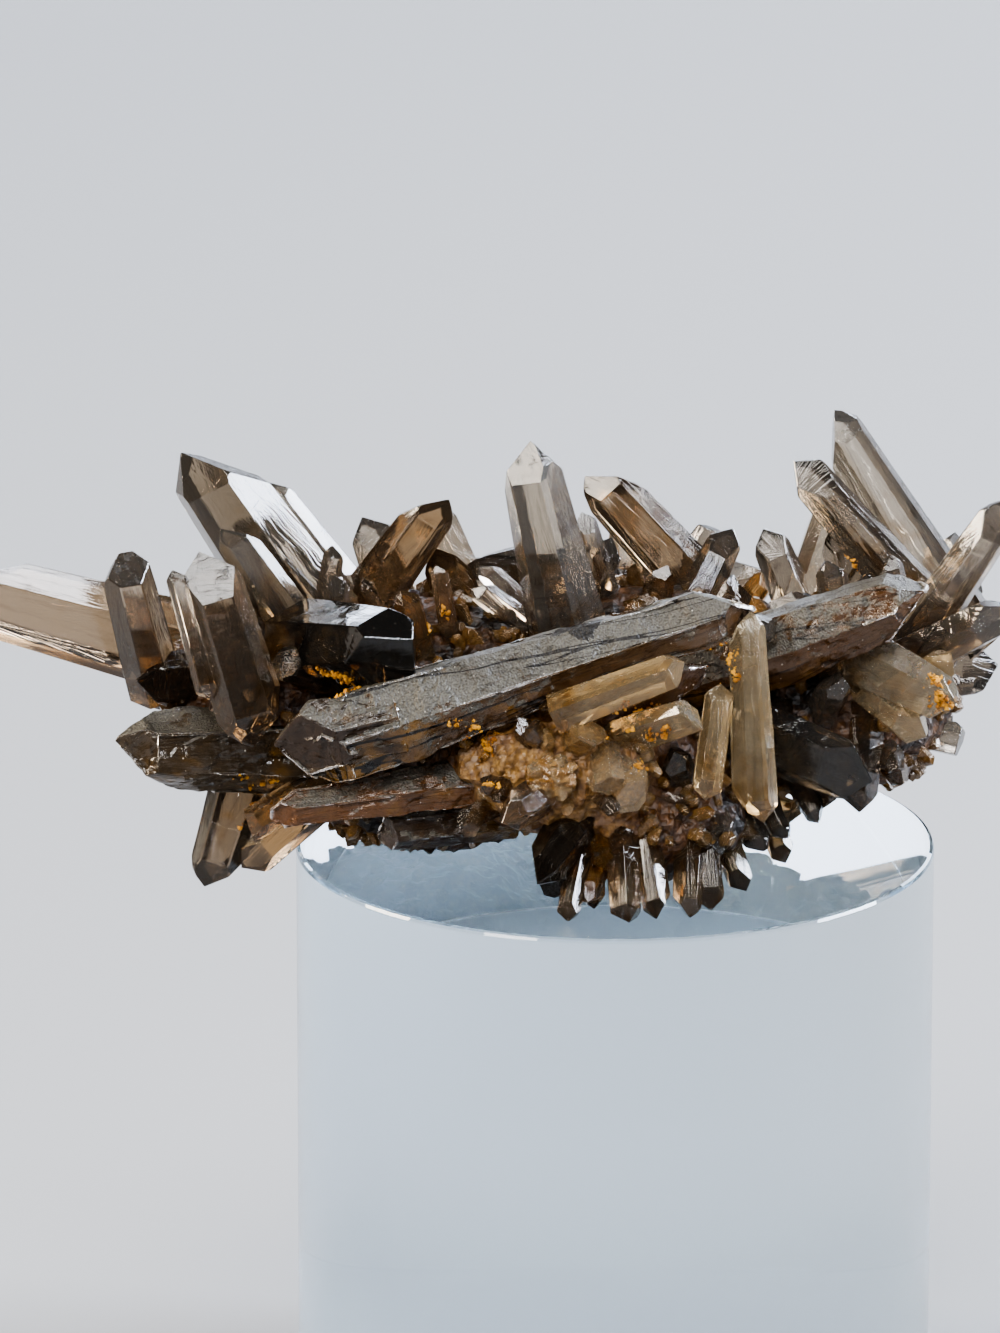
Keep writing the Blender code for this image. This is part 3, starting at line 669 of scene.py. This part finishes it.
def grow_crystal(name, tip, axis, length, width, habit, deep, look, sizes, etched=False):
    """Models one crystal upright with its tip at the origin, then sets it in its place.

    The look is its tone, frost and amber.
    """
    rng = random.Random(name)
    radius = width / WIDTH_PER_RADIUS
    deselect_all()
    bpy.ops.mesh.primitive_cone_add(
        vertices=SIDES, radius1=radius * habit.root, radius2=radius * habit.end, depth=length,
        end_fill_type="NGON", location=(0, 0, -length / 2))
    thing = bpy.context.active_object
    thing.name = name
    half_root = radius * habit.root * math.cos(math.pi / SIDES)
    half_end = radius * habit.end * math.cos(math.pi / SIDES)
    bpy.ops.object.mode_set(mode="EDIT")
    cut_sides(half_root, half_end, length, rng)
    cut_point(half_end, 0.0, 1, rng, deep)
    if habit.double:
        cut_point(half_root, -length, -1, rng, deep)
    if habit.broken:
        cut_away(Vector((0, 0, -habit.broken * 2 * half_end)), slanted(BREAK_SLANT, rng))
    if width > LEDGED_WIDTH:
        add_ledges(thing, length, half_end, sizes.ledge_depth, rng)
    bpy.ops.mesh.select_all(action="SELECT")
    bpy.ops.transform.resize(value=(habit.depth, 1, 1), center_override=(0, 0, 0))
    bpy.ops.mesh.select_all(action="DESELECT")
    bpy.ops.mesh.select_mode(type="EDGE")
    bpy.ops.mesh.edges_select_sharp(sharpness=SHARP_EDGE)
    bpy.ops.mesh.bevel(
        offset=sizes.worn_round if etched else min(sizes.edge_round, width * SLIM_BEVEL),
        segments=2 if etched else 1, affect="EDGES", clamp_overlap=True)
    bpy.ops.object.mode_set(mode="OBJECT")
    bpy.ops.object.transform_apply(location=True, rotation=True, scale=True)
    if etched:
        bpy.ops.object.mode_set(mode="EDIT")
        add_grid(length)
        bpy.ops.object.mode_set(mode="OBJECT")
    mark_growth(thing.data, length, *look)
    thing.data.transform(placing(tip, axis, habit.turn))
    return thing


def grow_all(crystals, sizes, etched=False):
    """Models every crystal of a list."""
    return [
        grow_crystal(
            crystal.name, above_stand(crystal.tip), axis_of(crystal.lean, crystal.toward),
            crystal.length * MM, crystal.width * MM, HABITS[crystal.habit], crystal.deep,
            (crystal.tone, crystal.frost, crystal.amber), sizes, etched)
        for crystal in crystals
    ]


def search_tree(thing):
    """A finished mesh as a tree that is quick to search for its nearest surface."""
    return BVHTree.FromPolygons(
        [vert.co for vert in thing.data.vertices],
        [face.vertices[:] for face in thing.data.polygons])


def outward(rng):
    """A direction anywhere but steeply down."""
    while True:
        found = Vector([rng.uniform(-1, 1) for _ in range(3)])
        if 0.2 < found.length < 1 and found.normalized().z > -0.75:
            return found.normalized()


def grow_coarse_druse(sizes):
    """Models the small crystals that crowd each lump of the root mass."""
    grown = []
    for druse in DRUSES:
        rng = random.Random(druse.lump)
        lump = next(item for item in LUMPS if item.name == druse.lump)
        for index in range(druse.count):
            way = outward(rng)
            reach = Vector([part * half for part, half in zip(way, lump.half_size)])
            length = rng.uniform(*druse.length)
            width = rng.uniform(*druse.width)
            lean_off = Vector([rng.uniform(-DRUSE_LEAN, DRUSE_LEAN) for _ in range(3)])
            axis = (way + lean_off).normalized()
            tip = above_stand(Vector(lump.centre) + reach + axis * length * (1 - DRUSE_SINK))
            habit = HABITS[rng.choice(("point", "edge_on", "turned"))]
            name = f"druse_{druse.lump}_{index + 1}"
            shade = random.Random(name)
            look = (shade.uniform(*DRUSE_TONES), DRUSE_FROST, shade.uniform(*DRUSE_AMBERS))
            grown.append(grow_crystal(
                name, tip, axis, length * MM, width * MM, habit, None, look, sizes))
    return grown


def trim_to_stand(thing):
    """Cuts off what would sink into the cylinder's top."""
    deselect_all()
    bpy.ops.mesh.primitive_cylinder_add(
        vertices=96, radius=STAND_RADIUS + TRIM_MARGIN, depth=STAND_TOP,
        location=(0, 0, STAND_TOP / 2 + REST_GAP))
    clearance = bpy.context.active_object
    cut = thing.modifiers.new("clearance", "BOOLEAN")
    cut.operation = "DIFFERENCE"
    cut.object = clearance
    apply_modifiers(thing)
    bpy.data.objects.remove(clearance)


def unite(things, name):
    """Unites overlapping crystals into one closed mesh."""
    others = bpy.data.collections.new("to_unite")
    bpy.context.scene.collection.children.link(others)
    for thing in things[1:]:
        others.objects.link(thing)
    first = things[0]
    union = first.modifiers.new("union", "BOOLEAN")
    union.operation = "UNION"
    union.operand_type = "COLLECTION"
    union.collection = others
    apply_modifiers(first)
    for thing in things[1:]:
        bpy.data.objects.remove(thing)
    bpy.data.collections.remove(others)
    trim_to_stand(first)
    first.name = name
    first.data.name = name
    return first


def crust_layer(tree, place, frost):
    """Flakes of crust about 3 mm wide, most of them on faces turned up, grained like fine sugar."""
    facing = add_node(tree, "NewGeometry").outputs["Normal"]
    upward = add_node(tree, "SeparateXYZ", {}, {0: facing}).outputs["Z"]
    flakes = add_node(tree, "TexNoise", {}, {
        "Vector": place, "Scale": FLAKES_PER_METRE, "Detail": 5.0, "Roughness": 0.68})
    lifted = add_node(tree, "Math", {"operation": "MULTIPLY_ADD"}, {
        0: upward, 1: 0.35, 2: flakes.outputs["Fac"]})
    crusted = add_node(tree, "Math", {"operation": "MULTIPLY_ADD"}, {
        0: frost, 1: 0.5, 2: lifted.outputs[0]})
    crust = add_node(tree, "MapRange", {"interpolation_type": "SMOOTHSTEP"}, {
        "Value": crusted.outputs[0], "From Min": 0.84, "From Max": 1.10})
    sugar = add_node(tree, "TexNoise", {}, {
        "Vector": place, "Scale": SUGAR_PER_METRE, "Detail": 0.0})
    return crust.outputs[0], sugar.outputs["Fac"]


def crack_layer(tree, along, frost):
    """Cracks, where one flake ends and the next begins."""
    drawn = add_node(tree, "Mapping", {}, {"Vector": along, "Scale": (3.6, 4.2, 1.0)})
    plates = add_node(tree, "TexNoise", {}, {
        "Vector": drawn.outputs[0], "Scale": 1.0, "Detail": 3.0, "Roughness": 0.6})
    apart = add_node(tree, "Math", {"operation": "COMPARE"}, {
        0: plates.outputs["Fac"], 1: 0.5, 2: 0.010})
    return add_node(tree, "Math", {"operation": "MULTIPLY"}, {
        0: apart.outputs[0], 1: frost}).outputs[0]


def rust_layer(tree, place, height):
    """Wisps of rust, about 4 mm long, that gather at the root."""
    wisps = add_node(tree, "TexNoise", {}, {
        "Vector": place, "Scale": WISPS_PER_METRE, "Detail": 3.0, "Roughness": 0.6})
    rooted = add_node(tree, "Math", {"operation": "MULTIPLY_ADD"}, {
        0: height, 1: -0.3, 2: wisps.outputs["Fac"]})
    rust = add_node(tree, "MapRange", {"interpolation_type": "SMOOTHSTEP"}, {
        "Value": rooted.outputs[0], "From Min": 0.34, "From Max": 0.64, "To Max": 0.75})
    return wisps.outputs["Fac"], rust.outputs[0]


def broken_layer(tree, place, wisps):
    """The ragged dark place where a flake broke off the long front crystal."""
    off = add_node(tree, "VectorMath", {"operation": "DISTANCE"}, {
        0: place, 1: above_stand(BROKEN_PLACE)})
    ragged = add_node(tree, "Math", {"operation": "MULTIPLY_ADD"}, {
        0: wisps, 1: 2 * BROKEN_REACH, 2: off.outputs["Value"]})
    return add_node(tree, "Math", {"operation": "LESS_THAN"}, {
        0: ragged.outputs[0], 1: 2 * BROKEN_REACH}).outputs[0]


def quartz_relief(tree, along, crust, sugar, cracks, depth):
    """Fine lines across the prism faces, about 0.4 mm apart, grains on the crust, and cracks."""
    stretched = add_node(tree, "Mapping", {}, {"Vector": along, "Scale": (1.6, 26.0, 1.0)})
    lines = add_node(tree, "TexNoise", {}, {
        "Vector": stretched.outputs[0], "Scale": 1.0, "Detail": 2.0, "Roughness": 0.6})
    grained = add_node(tree, "Math", {"operation": "MULTIPLY"}, {0: sugar, 1: crust})
    raised = add_node(tree, "Math", {"operation": "MULTIPLY_ADD"}, {
        0: grained.outputs[0], 1: 2.0, 2: lines.outputs["Fac"]})
    sunk = add_node(tree, "Math", {"operation": "MULTIPLY_ADD"}, {
        0: cracks, 1: -1.5, 2: raised.outputs[0]})
    return add_node(tree, "Bump", {}, {
        "Height": sunk.outputs[0], "Distance": depth, "Strength": 0.7}).outputs[0]


def quartz(name, looks):
    """Quartz, grown in water: flat glossy faces with fine lines across them and specks of dust,
    a dull cracked crust on the sides turned up, and rust near the root. The smoke is in its
    depth, and the growth attribute says how dark, crusted and golden each crystal is."""
    look = LOOKS[name]
    material, tree, shader = new_material(name)
    growth = add_node(tree, "Attribute", {"attribute_name": "growth"})
    parts = add_node(tree, "SeparateColor", {}, {"Color": growth.outputs["Color"]})
    height, tone, frost = parts.outputs
    place = add_node(tree, "TexCoord").outputs["Object"]
    along = add_node(tree, "UVMap", {"uv_map": "along_growth"}).outputs["UV"]

    crust, sugar = crust_layer(tree, place, frost)
    cracks = crack_layer(tree, along, frost)
    wisps, rust = rust_layer(tree, place, height)
    broken = broken_layer(tree, place, wisps)
    dark = add_node(tree, "Math", {"operation": "MAXIMUM"}, {0: cracks, 1: broken})
    # Specks of dust 0.2 mm wide, a few millimetres apart
    dots = add_node(tree, "TexVoronoi", {}, {"Vector": place, "Scale": DUST_PER_METRE})
    speck = add_node(tree, "Math", {"operation": "LESS_THAN"}, {
        0: dots.outputs["Distance"], 1: 0.07})
    mottled = add_node(tree, "Mix", {"data_type": "RGBA"}, {
        0: sugar, 6: linear(CRUST_SHADE), 7: linear(look.frost)})

    # Each colour lies over the ones before it, by its share
    colour = linear(look.pale)
    for share, over in (
            (tone, linear(look.dark)), (growth.outputs["Alpha"], linear(look.amber)),
            (rust, linear(RUST)), (crust, mottled.outputs[2]),
            (dark.outputs[0], linear(CRACK)), (speck.outputs[0], linear(DUST))):
        mixed = add_node(tree, "Mix", {"data_type": "RGBA"}, {0: share, 6: colour, 7: over})
        colour = mixed.outputs[2]
    gloss = add_node(tree, "MapRange", {}, {
        "Value": crust, "To Min": look.gloss, "To Max": 0.45})

    tree.links.new(colour, shader.inputs["Base Color"])
    tree.links.new(gloss.outputs[0], shader.inputs["Roughness"])
    tree.links.new(
        quartz_relief(tree, along, crust, sugar, cracks, look.relief), shader.inputs["Normal"])
    shader.inputs["IOR"].default_value = 1.55
    shader.inputs["Transmission Weight"].default_value = look.clearness
    if look.smokiness:
        smoke = add_node(tree, "VolumeAbsorption", {}, {
            "Color": (*looks.smoke, 1), "Density": looks.smoke_density * look.smokiness})
        tree.links.new(smoke.outputs[0], tree.nodes["Material Output"].inputs["Volume"])
    return material


def root_quartz(name):
    """Massive milky quartz under the crystals: sugary and pale at the front, clouded brown
    elsewhere, its darkest clouds partly painted shade for the deep gaps between the crystals.
    """
    material, tree, shader = new_material(name)
    place = add_node(tree, "TexCoord").outputs["Object"]
    clouds = add_node(tree, "TexNoise", {}, {
        "Vector": place, "Scale": CLOUDS_PER_METRE, "Detail": 5.0, "Roughness": 0.7})
    grains = add_node(tree, "TexVoronoi", {"distance": "CHEBYCHEV"}, {
        "Vector": place, "Scale": GRAINS_PER_METRE})
    off = add_node(tree, "VectorMath", {"operation": "DISTANCE"}, {
        0: place, 1: above_stand(SUGARY_PLACE)})
    sugary = add_node(tree, "MapRange", {}, {
        "Value": off.outputs["Value"], "From Min": SUGARY_REACH * 0.6,
        "From Max": SUGARY_REACH * 1.3, "To Min": 0.2, "To Max": -0.1})
    paler = add_node(tree, "Math", {"operation": "ADD"}, {
        0: clouds.outputs["Fac"], 1: sugary.outputs[0]})
    # The ramp's near-black end is painted shade: over the mass's own brown, it darkens the clouds
    # across the whole mass for the deep gaps among the crystals.
    tones = add_node(tree, "ValToRGB", {}, {"Fac": paler.outputs[0]})
    ramp = tones.color_ramp
    ramp.elements[0].position = 0.32
    ramp.elements[0].color = linear("#1C130C")
    ramp.elements[1].position = 0.80
    ramp.elements[1].color = linear("#AC8A58")
    ramp.elements.new(0.54).color = linear("#6E4A28")
    speckled = add_node(tree, "Mix", {"data_type": "RGBA", "blend_type": "MULTIPLY"}, {
        0: grains.outputs["Distance"], 6: tones.outputs["Color"], 7: linear("#5A4026")})
    bump = add_node(tree, "Bump", {}, {
        "Height": grains.outputs["Distance"], "Distance": 0.0003, "Strength": 0.8})
    tree.links.new(speckled.outputs[2], shader.inputs["Base Color"])
    tree.links.new(bump.outputs[0], shader.inputs["Normal"])
    shader.inputs["Roughness"].default_value = 0.45
    shader.inputs["IOR"].default_value = 1.55
    return material


def iron_stain(name):
    """Limonite: earthy yellow to orange crumbs, dull."""
    material, tree, shader = new_material(name)
    place = add_node(tree, "TexCoord").outputs["Object"]
    clouds = add_node(tree, "TexNoise", {}, {
        "Vector": place, "Scale": CRUMBS_PER_METRE, "Detail": 4.0})
    tones = add_node(tree, "ValToRGB", {}, {"Fac": clouds.outputs["Fac"]})
    tones.color_ramp.elements[0].position = 0.35
    tones.color_ramp.elements[0].color = linear("#7A4A1C")
    tones.color_ramp.elements[1].position = 0.65
    tones.color_ramp.elements[1].color = linear("#D8A448")
    bump = add_node(tree, "Bump", {}, {
        "Height": clouds.outputs["Fac"], "Distance": 0.0002, "Strength": 0.6})
    tree.links.new(tones.outputs["Color"], shader.inputs["Base Color"])
    tree.links.new(bump.outputs[0], shader.inputs["Normal"])
    shader.inputs["Roughness"].default_value = 0.8
    return material


def cast_acrylic(name):
    """Cast acrylic rod: a polished side and top with faint rub marks, and a sawn, satin base that
    glows with the light that comes in at the side."""
    material, tree, shader = new_material(name)
    place = add_node(tree, "TexCoord").outputs["Object"]
    rubbed = add_node(tree, "TexNoise", {}, {
        "Vector": place, "Scale": RUBS_PER_METRE, "Detail": 5.0})
    polished = add_node(tree, "MapRange", {}, {
        "Value": rubbed.outputs["Fac"], "From Min": 0.4, "From Max": 0.8,
        "To Min": 0.01, "To Max": 0.05})
    height = add_node(tree, "SeparateXYZ", {}, {0: place}).outputs["Z"]
    sawn = add_node(tree, "Math", {"operation": "LESS_THAN"}, {0: height, 1: 0.0001})
    gloss = add_node(tree, "Math", {"operation": "MAXIMUM"}, {
        0: polished.outputs[0], 1: sawn.outputs[0]})
    tree.links.new(gloss.outputs[0], shader.inputs["Roughness"])
    shader.inputs["Base Color"].default_value = linear("#F4F8FA")
    shader.inputs["IOR"].default_value = 1.49
    shader.inputs["Transmission Weight"].default_value = 1.0
    smoke = add_node(tree, "VolumeAbsorption", {}, {
        "Color": (0.80, 0.87, 0.92, 1), "Density": 16.0})
    tree.links.new(smoke.outputs[0], tree.nodes["Material Output"].inputs["Volume"])
    return material


def finish_quartz(piece, kind, looks):
    """Finishes a piece of the cluster that is one kind of quartz."""
    finish_piece(piece, quartz(kind, looks), "quartz_cluster")


class QUARTZ_OT_clear_crystals(Operator):
    """Grow the clear smoky crystals and the coarse druse, as one closed mesh"""

    bl_idname = "quartz.clear_crystals"
    bl_label = "Clear crystals"

    def execute(self, context):
        """Models each crystal and unites them."""
        sizes = context.scene.quartz_sizes
        piece = unite(grow_all(CLEAR_CRYSTALS, sizes) + grow_coarse_druse(sizes), "clear_crystals")
        finish_quartz(piece, "smoky_quartz_clear", context.scene.quartz_looks)
        return {"FINISHED"}


class QUARTZ_OT_etched_crystals(Operator):
    """Grow the dull grey crystals in front"""

    bl_idname = "quartz.etched_crystals"
    bl_label = "Etched crystals"

    def execute(self, context):
        """Models each crystal and unites them."""
        grown = grow_all(ETCHED_CRYSTALS, context.scene.quartz_sizes, etched=True)
        piece = unite(grown, "etched_crystals")
        weather(piece)
        finish_quartz(piece, "smoky_quartz_etched", context.scene.quartz_looks)
        return {"FINISHED"}


class QUARTZ_OT_cloudy_crystals(Operator):
    """Grow the beige and cream crystals, cloudy all through"""

    bl_idname = "quartz.cloudy_crystals"
    bl_label = "Cloudy crystals"

    def execute(self, context):
        """Models each crystal and unites them."""
        piece = unite(grow_all(CLOUDY_CRYSTALS, context.scene.quartz_sizes), "cloudy_crystals")
        finish_quartz(piece, "milky_quartz", context.scene.quartz_looks)
        return {"FINISHED"}


class QUARTZ_OT_root_mass(Operator):
    """Make the root mass that the crystals grew from"""

    bl_idname = "quartz.root_mass"
    bl_label = "Root mass"

    def execute(self, context):
        """Melts the lumps together and roughens them."""
        lumps = []
        for lump in LUMPS:
            deselect_all()
            bpy.ops.mesh.primitive_uv_sphere_add(
                segments=32, ring_count=16, radius=1.0, location=above_stand(lump.centre),
                scale=Vector(lump.half_size) * MM * LUMP_SHRINK)
            bpy.ops.object.transform_apply(location=True, rotation=True, scale=True)
            lumps.append(bpy.context.active_object)
        mass = join(lumps, "root_mass")
        melt = mass.modifiers.new("melt", "REMESH")
        melt.mode = "VOXEL"
        melt.voxel_size = context.scene.quartz_sizes.root_voxel
        for layer in ROUGHENING:
            displace(mass, *layer)
        apply_modifiers(mass)
        floor = STAND_TOP + REST_GAP
        for vert in mass.data.vertices:
            if vert.co.z < floor:
                vert.co.z = floor
        finish_piece(mass, root_quartz("massive_quartz"), "quartz_cluster")
        return {"FINISHED"}


class QUARTZ_OT_fine_druse(Operator):
    """Crowd the root mass with fine crystals"""

    bl_idname = "quartz.fine_druse"
    bl_label = "Fine druse"

    def execute(self, context):
        """Copies a few model crystals over the root mass."""
        sizes = context.scene.quartz_sizes
        models = [
            grow_crystal(
                f"druse_model_{index}", Vector((0, 0, 0)), Vector((0, 0, 1)), length * MM,
                MM, HABITS["point"], None, (tone, DRUSE_FROST, amber), sizes)
            for index, (length, tone, amber) in enumerate(PALE_DRUSE + BROWN_DRUSE)
        ]
        pale = models[:len(PALE_DRUSE)]
        brown = models[len(PALE_DRUSE):]
        tree = search_tree(bpy.data.objects["root_mass"])
        rng = random.Random("fine druse")
        copies = []
        across, back = DRUSE_SPAN
        while len(copies) < sizes.druse_count:
            way = outward(rng)
            off = Vector((rng.uniform(-across, across), rng.uniform(-back, back), 0))
            start = above_stand(DRUSE_CENTRE) + off * MM
            if rng.random() < SUGARY_SHARE:
                way = Vector((rng.uniform(-0.6, 0.6), -1, rng.uniform(-0.5, 0.5))).normalized()
                start = above_stand(SUGARY_PLACE) - way * 5 * MM
            hit, normal, _, _ = tree.ray_cast(start + way * RAY_LENGTH, -way)
            if hit is None:
                continue
            lean_off = Vector([rng.uniform(-FINE_LEAN, FINE_LEAN) for _ in range(3)])
            axis = (normal + lean_off).normalized()
            width = sizes.druse_width * rng.uniform(*FINE_WIDTHS)
            pale_reach = SUGARY_REACH * rng.uniform(*SUGARY_EDGE)
            near = (hit - above_stand(SUGARY_PLACE)).length < pale_reach
            model = rng.choice(pale if near else brown)
            tip = hit + axis * width * rng.uniform(*FINE_HEIGHTS)
            if tip.z < STAND_TOP + REST_GAP + width * 0.7:
                continue
            copies.append(copy_of(model))
            scale = Matrix.Scale(width / MM, 4)
            copies[-1].data.transform(placing(tip, axis, rng.uniform(0, 60)) @ scale)
        for model in models:
            bpy.data.objects.remove(model)
        piece = join(copies, "fine_druse")
        finish_quartz(piece, "druse_quartz", context.scene.quartz_looks)
        return {"FINISHED"}


class QUARTZ_OT_iron_stains(Operator):
    """Strew crumbs of iron stain in the joints between the crystals"""

    bl_idname = "quartz.iron_stains"
    bl_label = "Iron stains"

    def execute(self, context):
        """Copies a rough crumb to the nearest surface round each spot."""
        deselect_all()
        bpy.ops.mesh.primitive_ico_sphere_add(subdivisions=1, radius=1.0)
        model = bpy.context.active_object
        targets = [search_tree(bpy.data.objects[name]) for name in (
            "clear_crystals", "etched_crystals", "cloudy_crystals", "root_mass")]
        rng = random.Random("iron stains")
        copies = []
        for spot in STAIN_SPOTS:
            clots = [[rng.gauss(0, spot.spread / 2) for _ in range(3)] for _ in range(CLOTS)]
            for _ in range(spot.count):
                off = Vector([part + rng.gauss(0, CLOT_SPREAD) for part in rng.choice(clots)])
                wanted = above_stand(Vector(spot.place) + off)
                found = [target.find_nearest(wanted) for target in targets]
                place, normal, _, _ = min(found, key=lambda item: item[3])
                if place.z < STAND_TOP + CRUMB_FLOOR:
                    continue
                made = copy_of(model)
                size = (CRUMB_LEAST + CRUMB_MORE * rng.random() ** 3) * MM
                for vert in made.data.vertices:
                    vert.co *= size * rng.uniform(*CRUMB_ROUGHNESS)
                made.data.transform(Matrix.Translation(place + normal * size * CRUMB_RISE))
                copies.append(made)
        bpy.data.objects.remove(model)
        piece = join(copies, "iron_stains")
        finish_piece(piece, iron_stain("limonite"), "quartz_cluster")
        return {"FINISHED"}


class QUARTZ_OT_stand(Operator):
    """Turn the clear cylinder"""

    bl_idname = "quartz.stand"
    bl_label = "Acrylic stand"

    def execute(self, context):
        """Models the cylinder with its chamfered rims."""
        chamfer = context.scene.quartz_sizes.stand_chamfer
        deselect_all()
        bpy.ops.mesh.primitive_cylinder_add(
            vertices=256, radius=STAND_RADIUS, depth=STAND_TOP, location=(0, 0, STAND_TOP / 2))
        stand = bpy.context.active_object
        bpy.ops.object.mode_set(mode="EDIT")
        bpy.ops.mesh.select_all(action="DESELECT")
        bpy.ops.mesh.select_mode(type="EDGE")
        bpy.ops.mesh.edges_select_sharp(sharpness=math.radians(60))
        bpy.ops.mesh.bevel(offset=chamfer, segments=2, affect="EDGES")
        bpy.ops.object.mode_set(mode="OBJECT")
        bpy.ops.object.transform_apply(location=True, rotation=True, scale=True)
        bpy.ops.object.shade_smooth_by_angle(angle=math.radians(20))
        stand.name = "clear_cylinder"
        stand.data.name = "clear_cylinder"
        finish_piece(stand, cast_acrylic("cast_acrylic"), "acrylic_stand")
        return {"FINISHED"}


def add_softbox(softbox, brightness):
    """A soft rectangular light that looks at the cluster."""
    data = bpy.data.lights.new(softbox.name, "AREA")
    data.shape = "RECTANGLE"
    data.size, data.size_y = softbox.size
    data.energy = softbox.power * brightness
    data.color = linear(softbox.colour)[:3]
    lamp = bpy.data.objects.new(softbox.name, data)
    lamp.location = softbox.place
    aim = Vector((0, 0, STAND_TOP + 20 * MM)) - Vector(softbox.place)
    lamp.rotation_euler = aim.to_track_quat("-Z", "Y").to_euler()
    bpy.context.scene.collection.objects.link(lamp)


class QUARTZ_OT_stage(Operator):
    """Set the floor, the lights and the camera"""

    bl_idname = "quartz.stage"
    bl_label = "Stage"

    def execute(self, context):
        """Makes a pale floor, the soft lights and the camera of the photograph."""
        looks = context.scene.quartz_looks
        deselect_all()
        bpy.ops.mesh.primitive_plane_add(size=FLOOR_SIZE, location=(0, 0, -FLOOR_DROP))
        floor = bpy.context.active_object
        floor.name = "floor"
        material, _, shader = new_material("matt_paint")
        shader.inputs["Base Color"].default_value = (*[looks.floor_grey] * 3, 1)
        shader.inputs["Roughness"].default_value = 0.9
        floor.data.materials.append(material)

        for softbox in SOFTBOXES:
            add_softbox(softbox, looks.brightness)

        world = bpy.data.worlds.new("room")
        context.scene.world = world
        world.use_nodes = True
        backdrop = world.node_tree.nodes["Background"]
        backdrop.inputs["Color"].default_value = linear("#9AA0A8")
        backdrop.inputs["Strength"].default_value = looks.room_strength
        context.scene.view_settings.look = "AgX - High Contrast"

        data = bpy.data.cameras.new("camera")
        data.sensor_fit = "VERTICAL"
        data.sensor_height = SENSOR
        data.lens = FOCAL_PIXELS * SENSOR / IMAGE_HEIGHT
        data.clip_start = 0.01
        data.clip_end = 20.0
        camera = bpy.data.objects.new("camera", data)
        camera.location = CAMERA_PLACE
        camera.rotation_euler = (math.radians(90 - CAMERA_PITCH), 0, 0)
        context.scene.collection.objects.link(camera)
        context.scene.camera = camera
        return {"FINISHED"}


class QUARTZ_PT_panel(Panel):
    """Sizes, colours and steps of the quartz cluster"""

    bl_label = "Smoky quartz cluster"
    bl_idname = "QUARTZ_PT_panel"
    bl_space_type = "VIEW_3D"
    bl_region_type = "UI"
    bl_category = "Quartz"

    def draw(self, context):
        """Lists the values and then the operators."""
        layout = self.layout
        for group in (context.scene.quartz_sizes, context.scene.quartz_looks):
            box = layout.box()
            for name in group.__annotations__:
                box.prop(group, name)
        for operator in OPERATORS:
            layout.operator(operator.bl_idname)


OPERATORS = (
    QUARTZ_OT_clear_crystals,
    QUARTZ_OT_etched_crystals,
    QUARTZ_OT_cloudy_crystals,
    QUARTZ_OT_root_mass,
    QUARTZ_OT_fine_druse,
    QUARTZ_OT_iron_stains,
    QUARTZ_OT_stand,
    QUARTZ_OT_stage,
)
CLASSES = (QuartzSizes, QuartzLooks, *OPERATORS, QUARTZ_PT_panel)


def register():
    """Registers the classes and hangs the values on the scene."""
    for item in CLASSES:
        bpy.utils.register_class(item)
    bpy.types.Scene.quartz_sizes = PointerProperty(type=QuartzSizes)
    bpy.types.Scene.quartz_looks = PointerProperty(type=QuartzLooks)


def unregister():
    """Undoes register."""
    del bpy.types.Scene.quartz_looks
    del bpy.types.Scene.quartz_sizes
    for item in reversed(CLASSES):
        bpy.utils.unregister_class(item)


def main():
    """Builds every piece and the stage."""
    register()
    bpy.ops.quartz.clear_crystals()
    bpy.ops.quartz.etched_crystals()
    bpy.ops.quartz.cloudy_crystals()
    bpy.ops.quartz.root_mass()
    bpy.ops.quartz.fine_druse()
    bpy.ops.quartz.iron_stains()
    bpy.ops.quartz.stand()
    bpy.ops.quartz.stage()


if __name__ == "__main__":
    main()
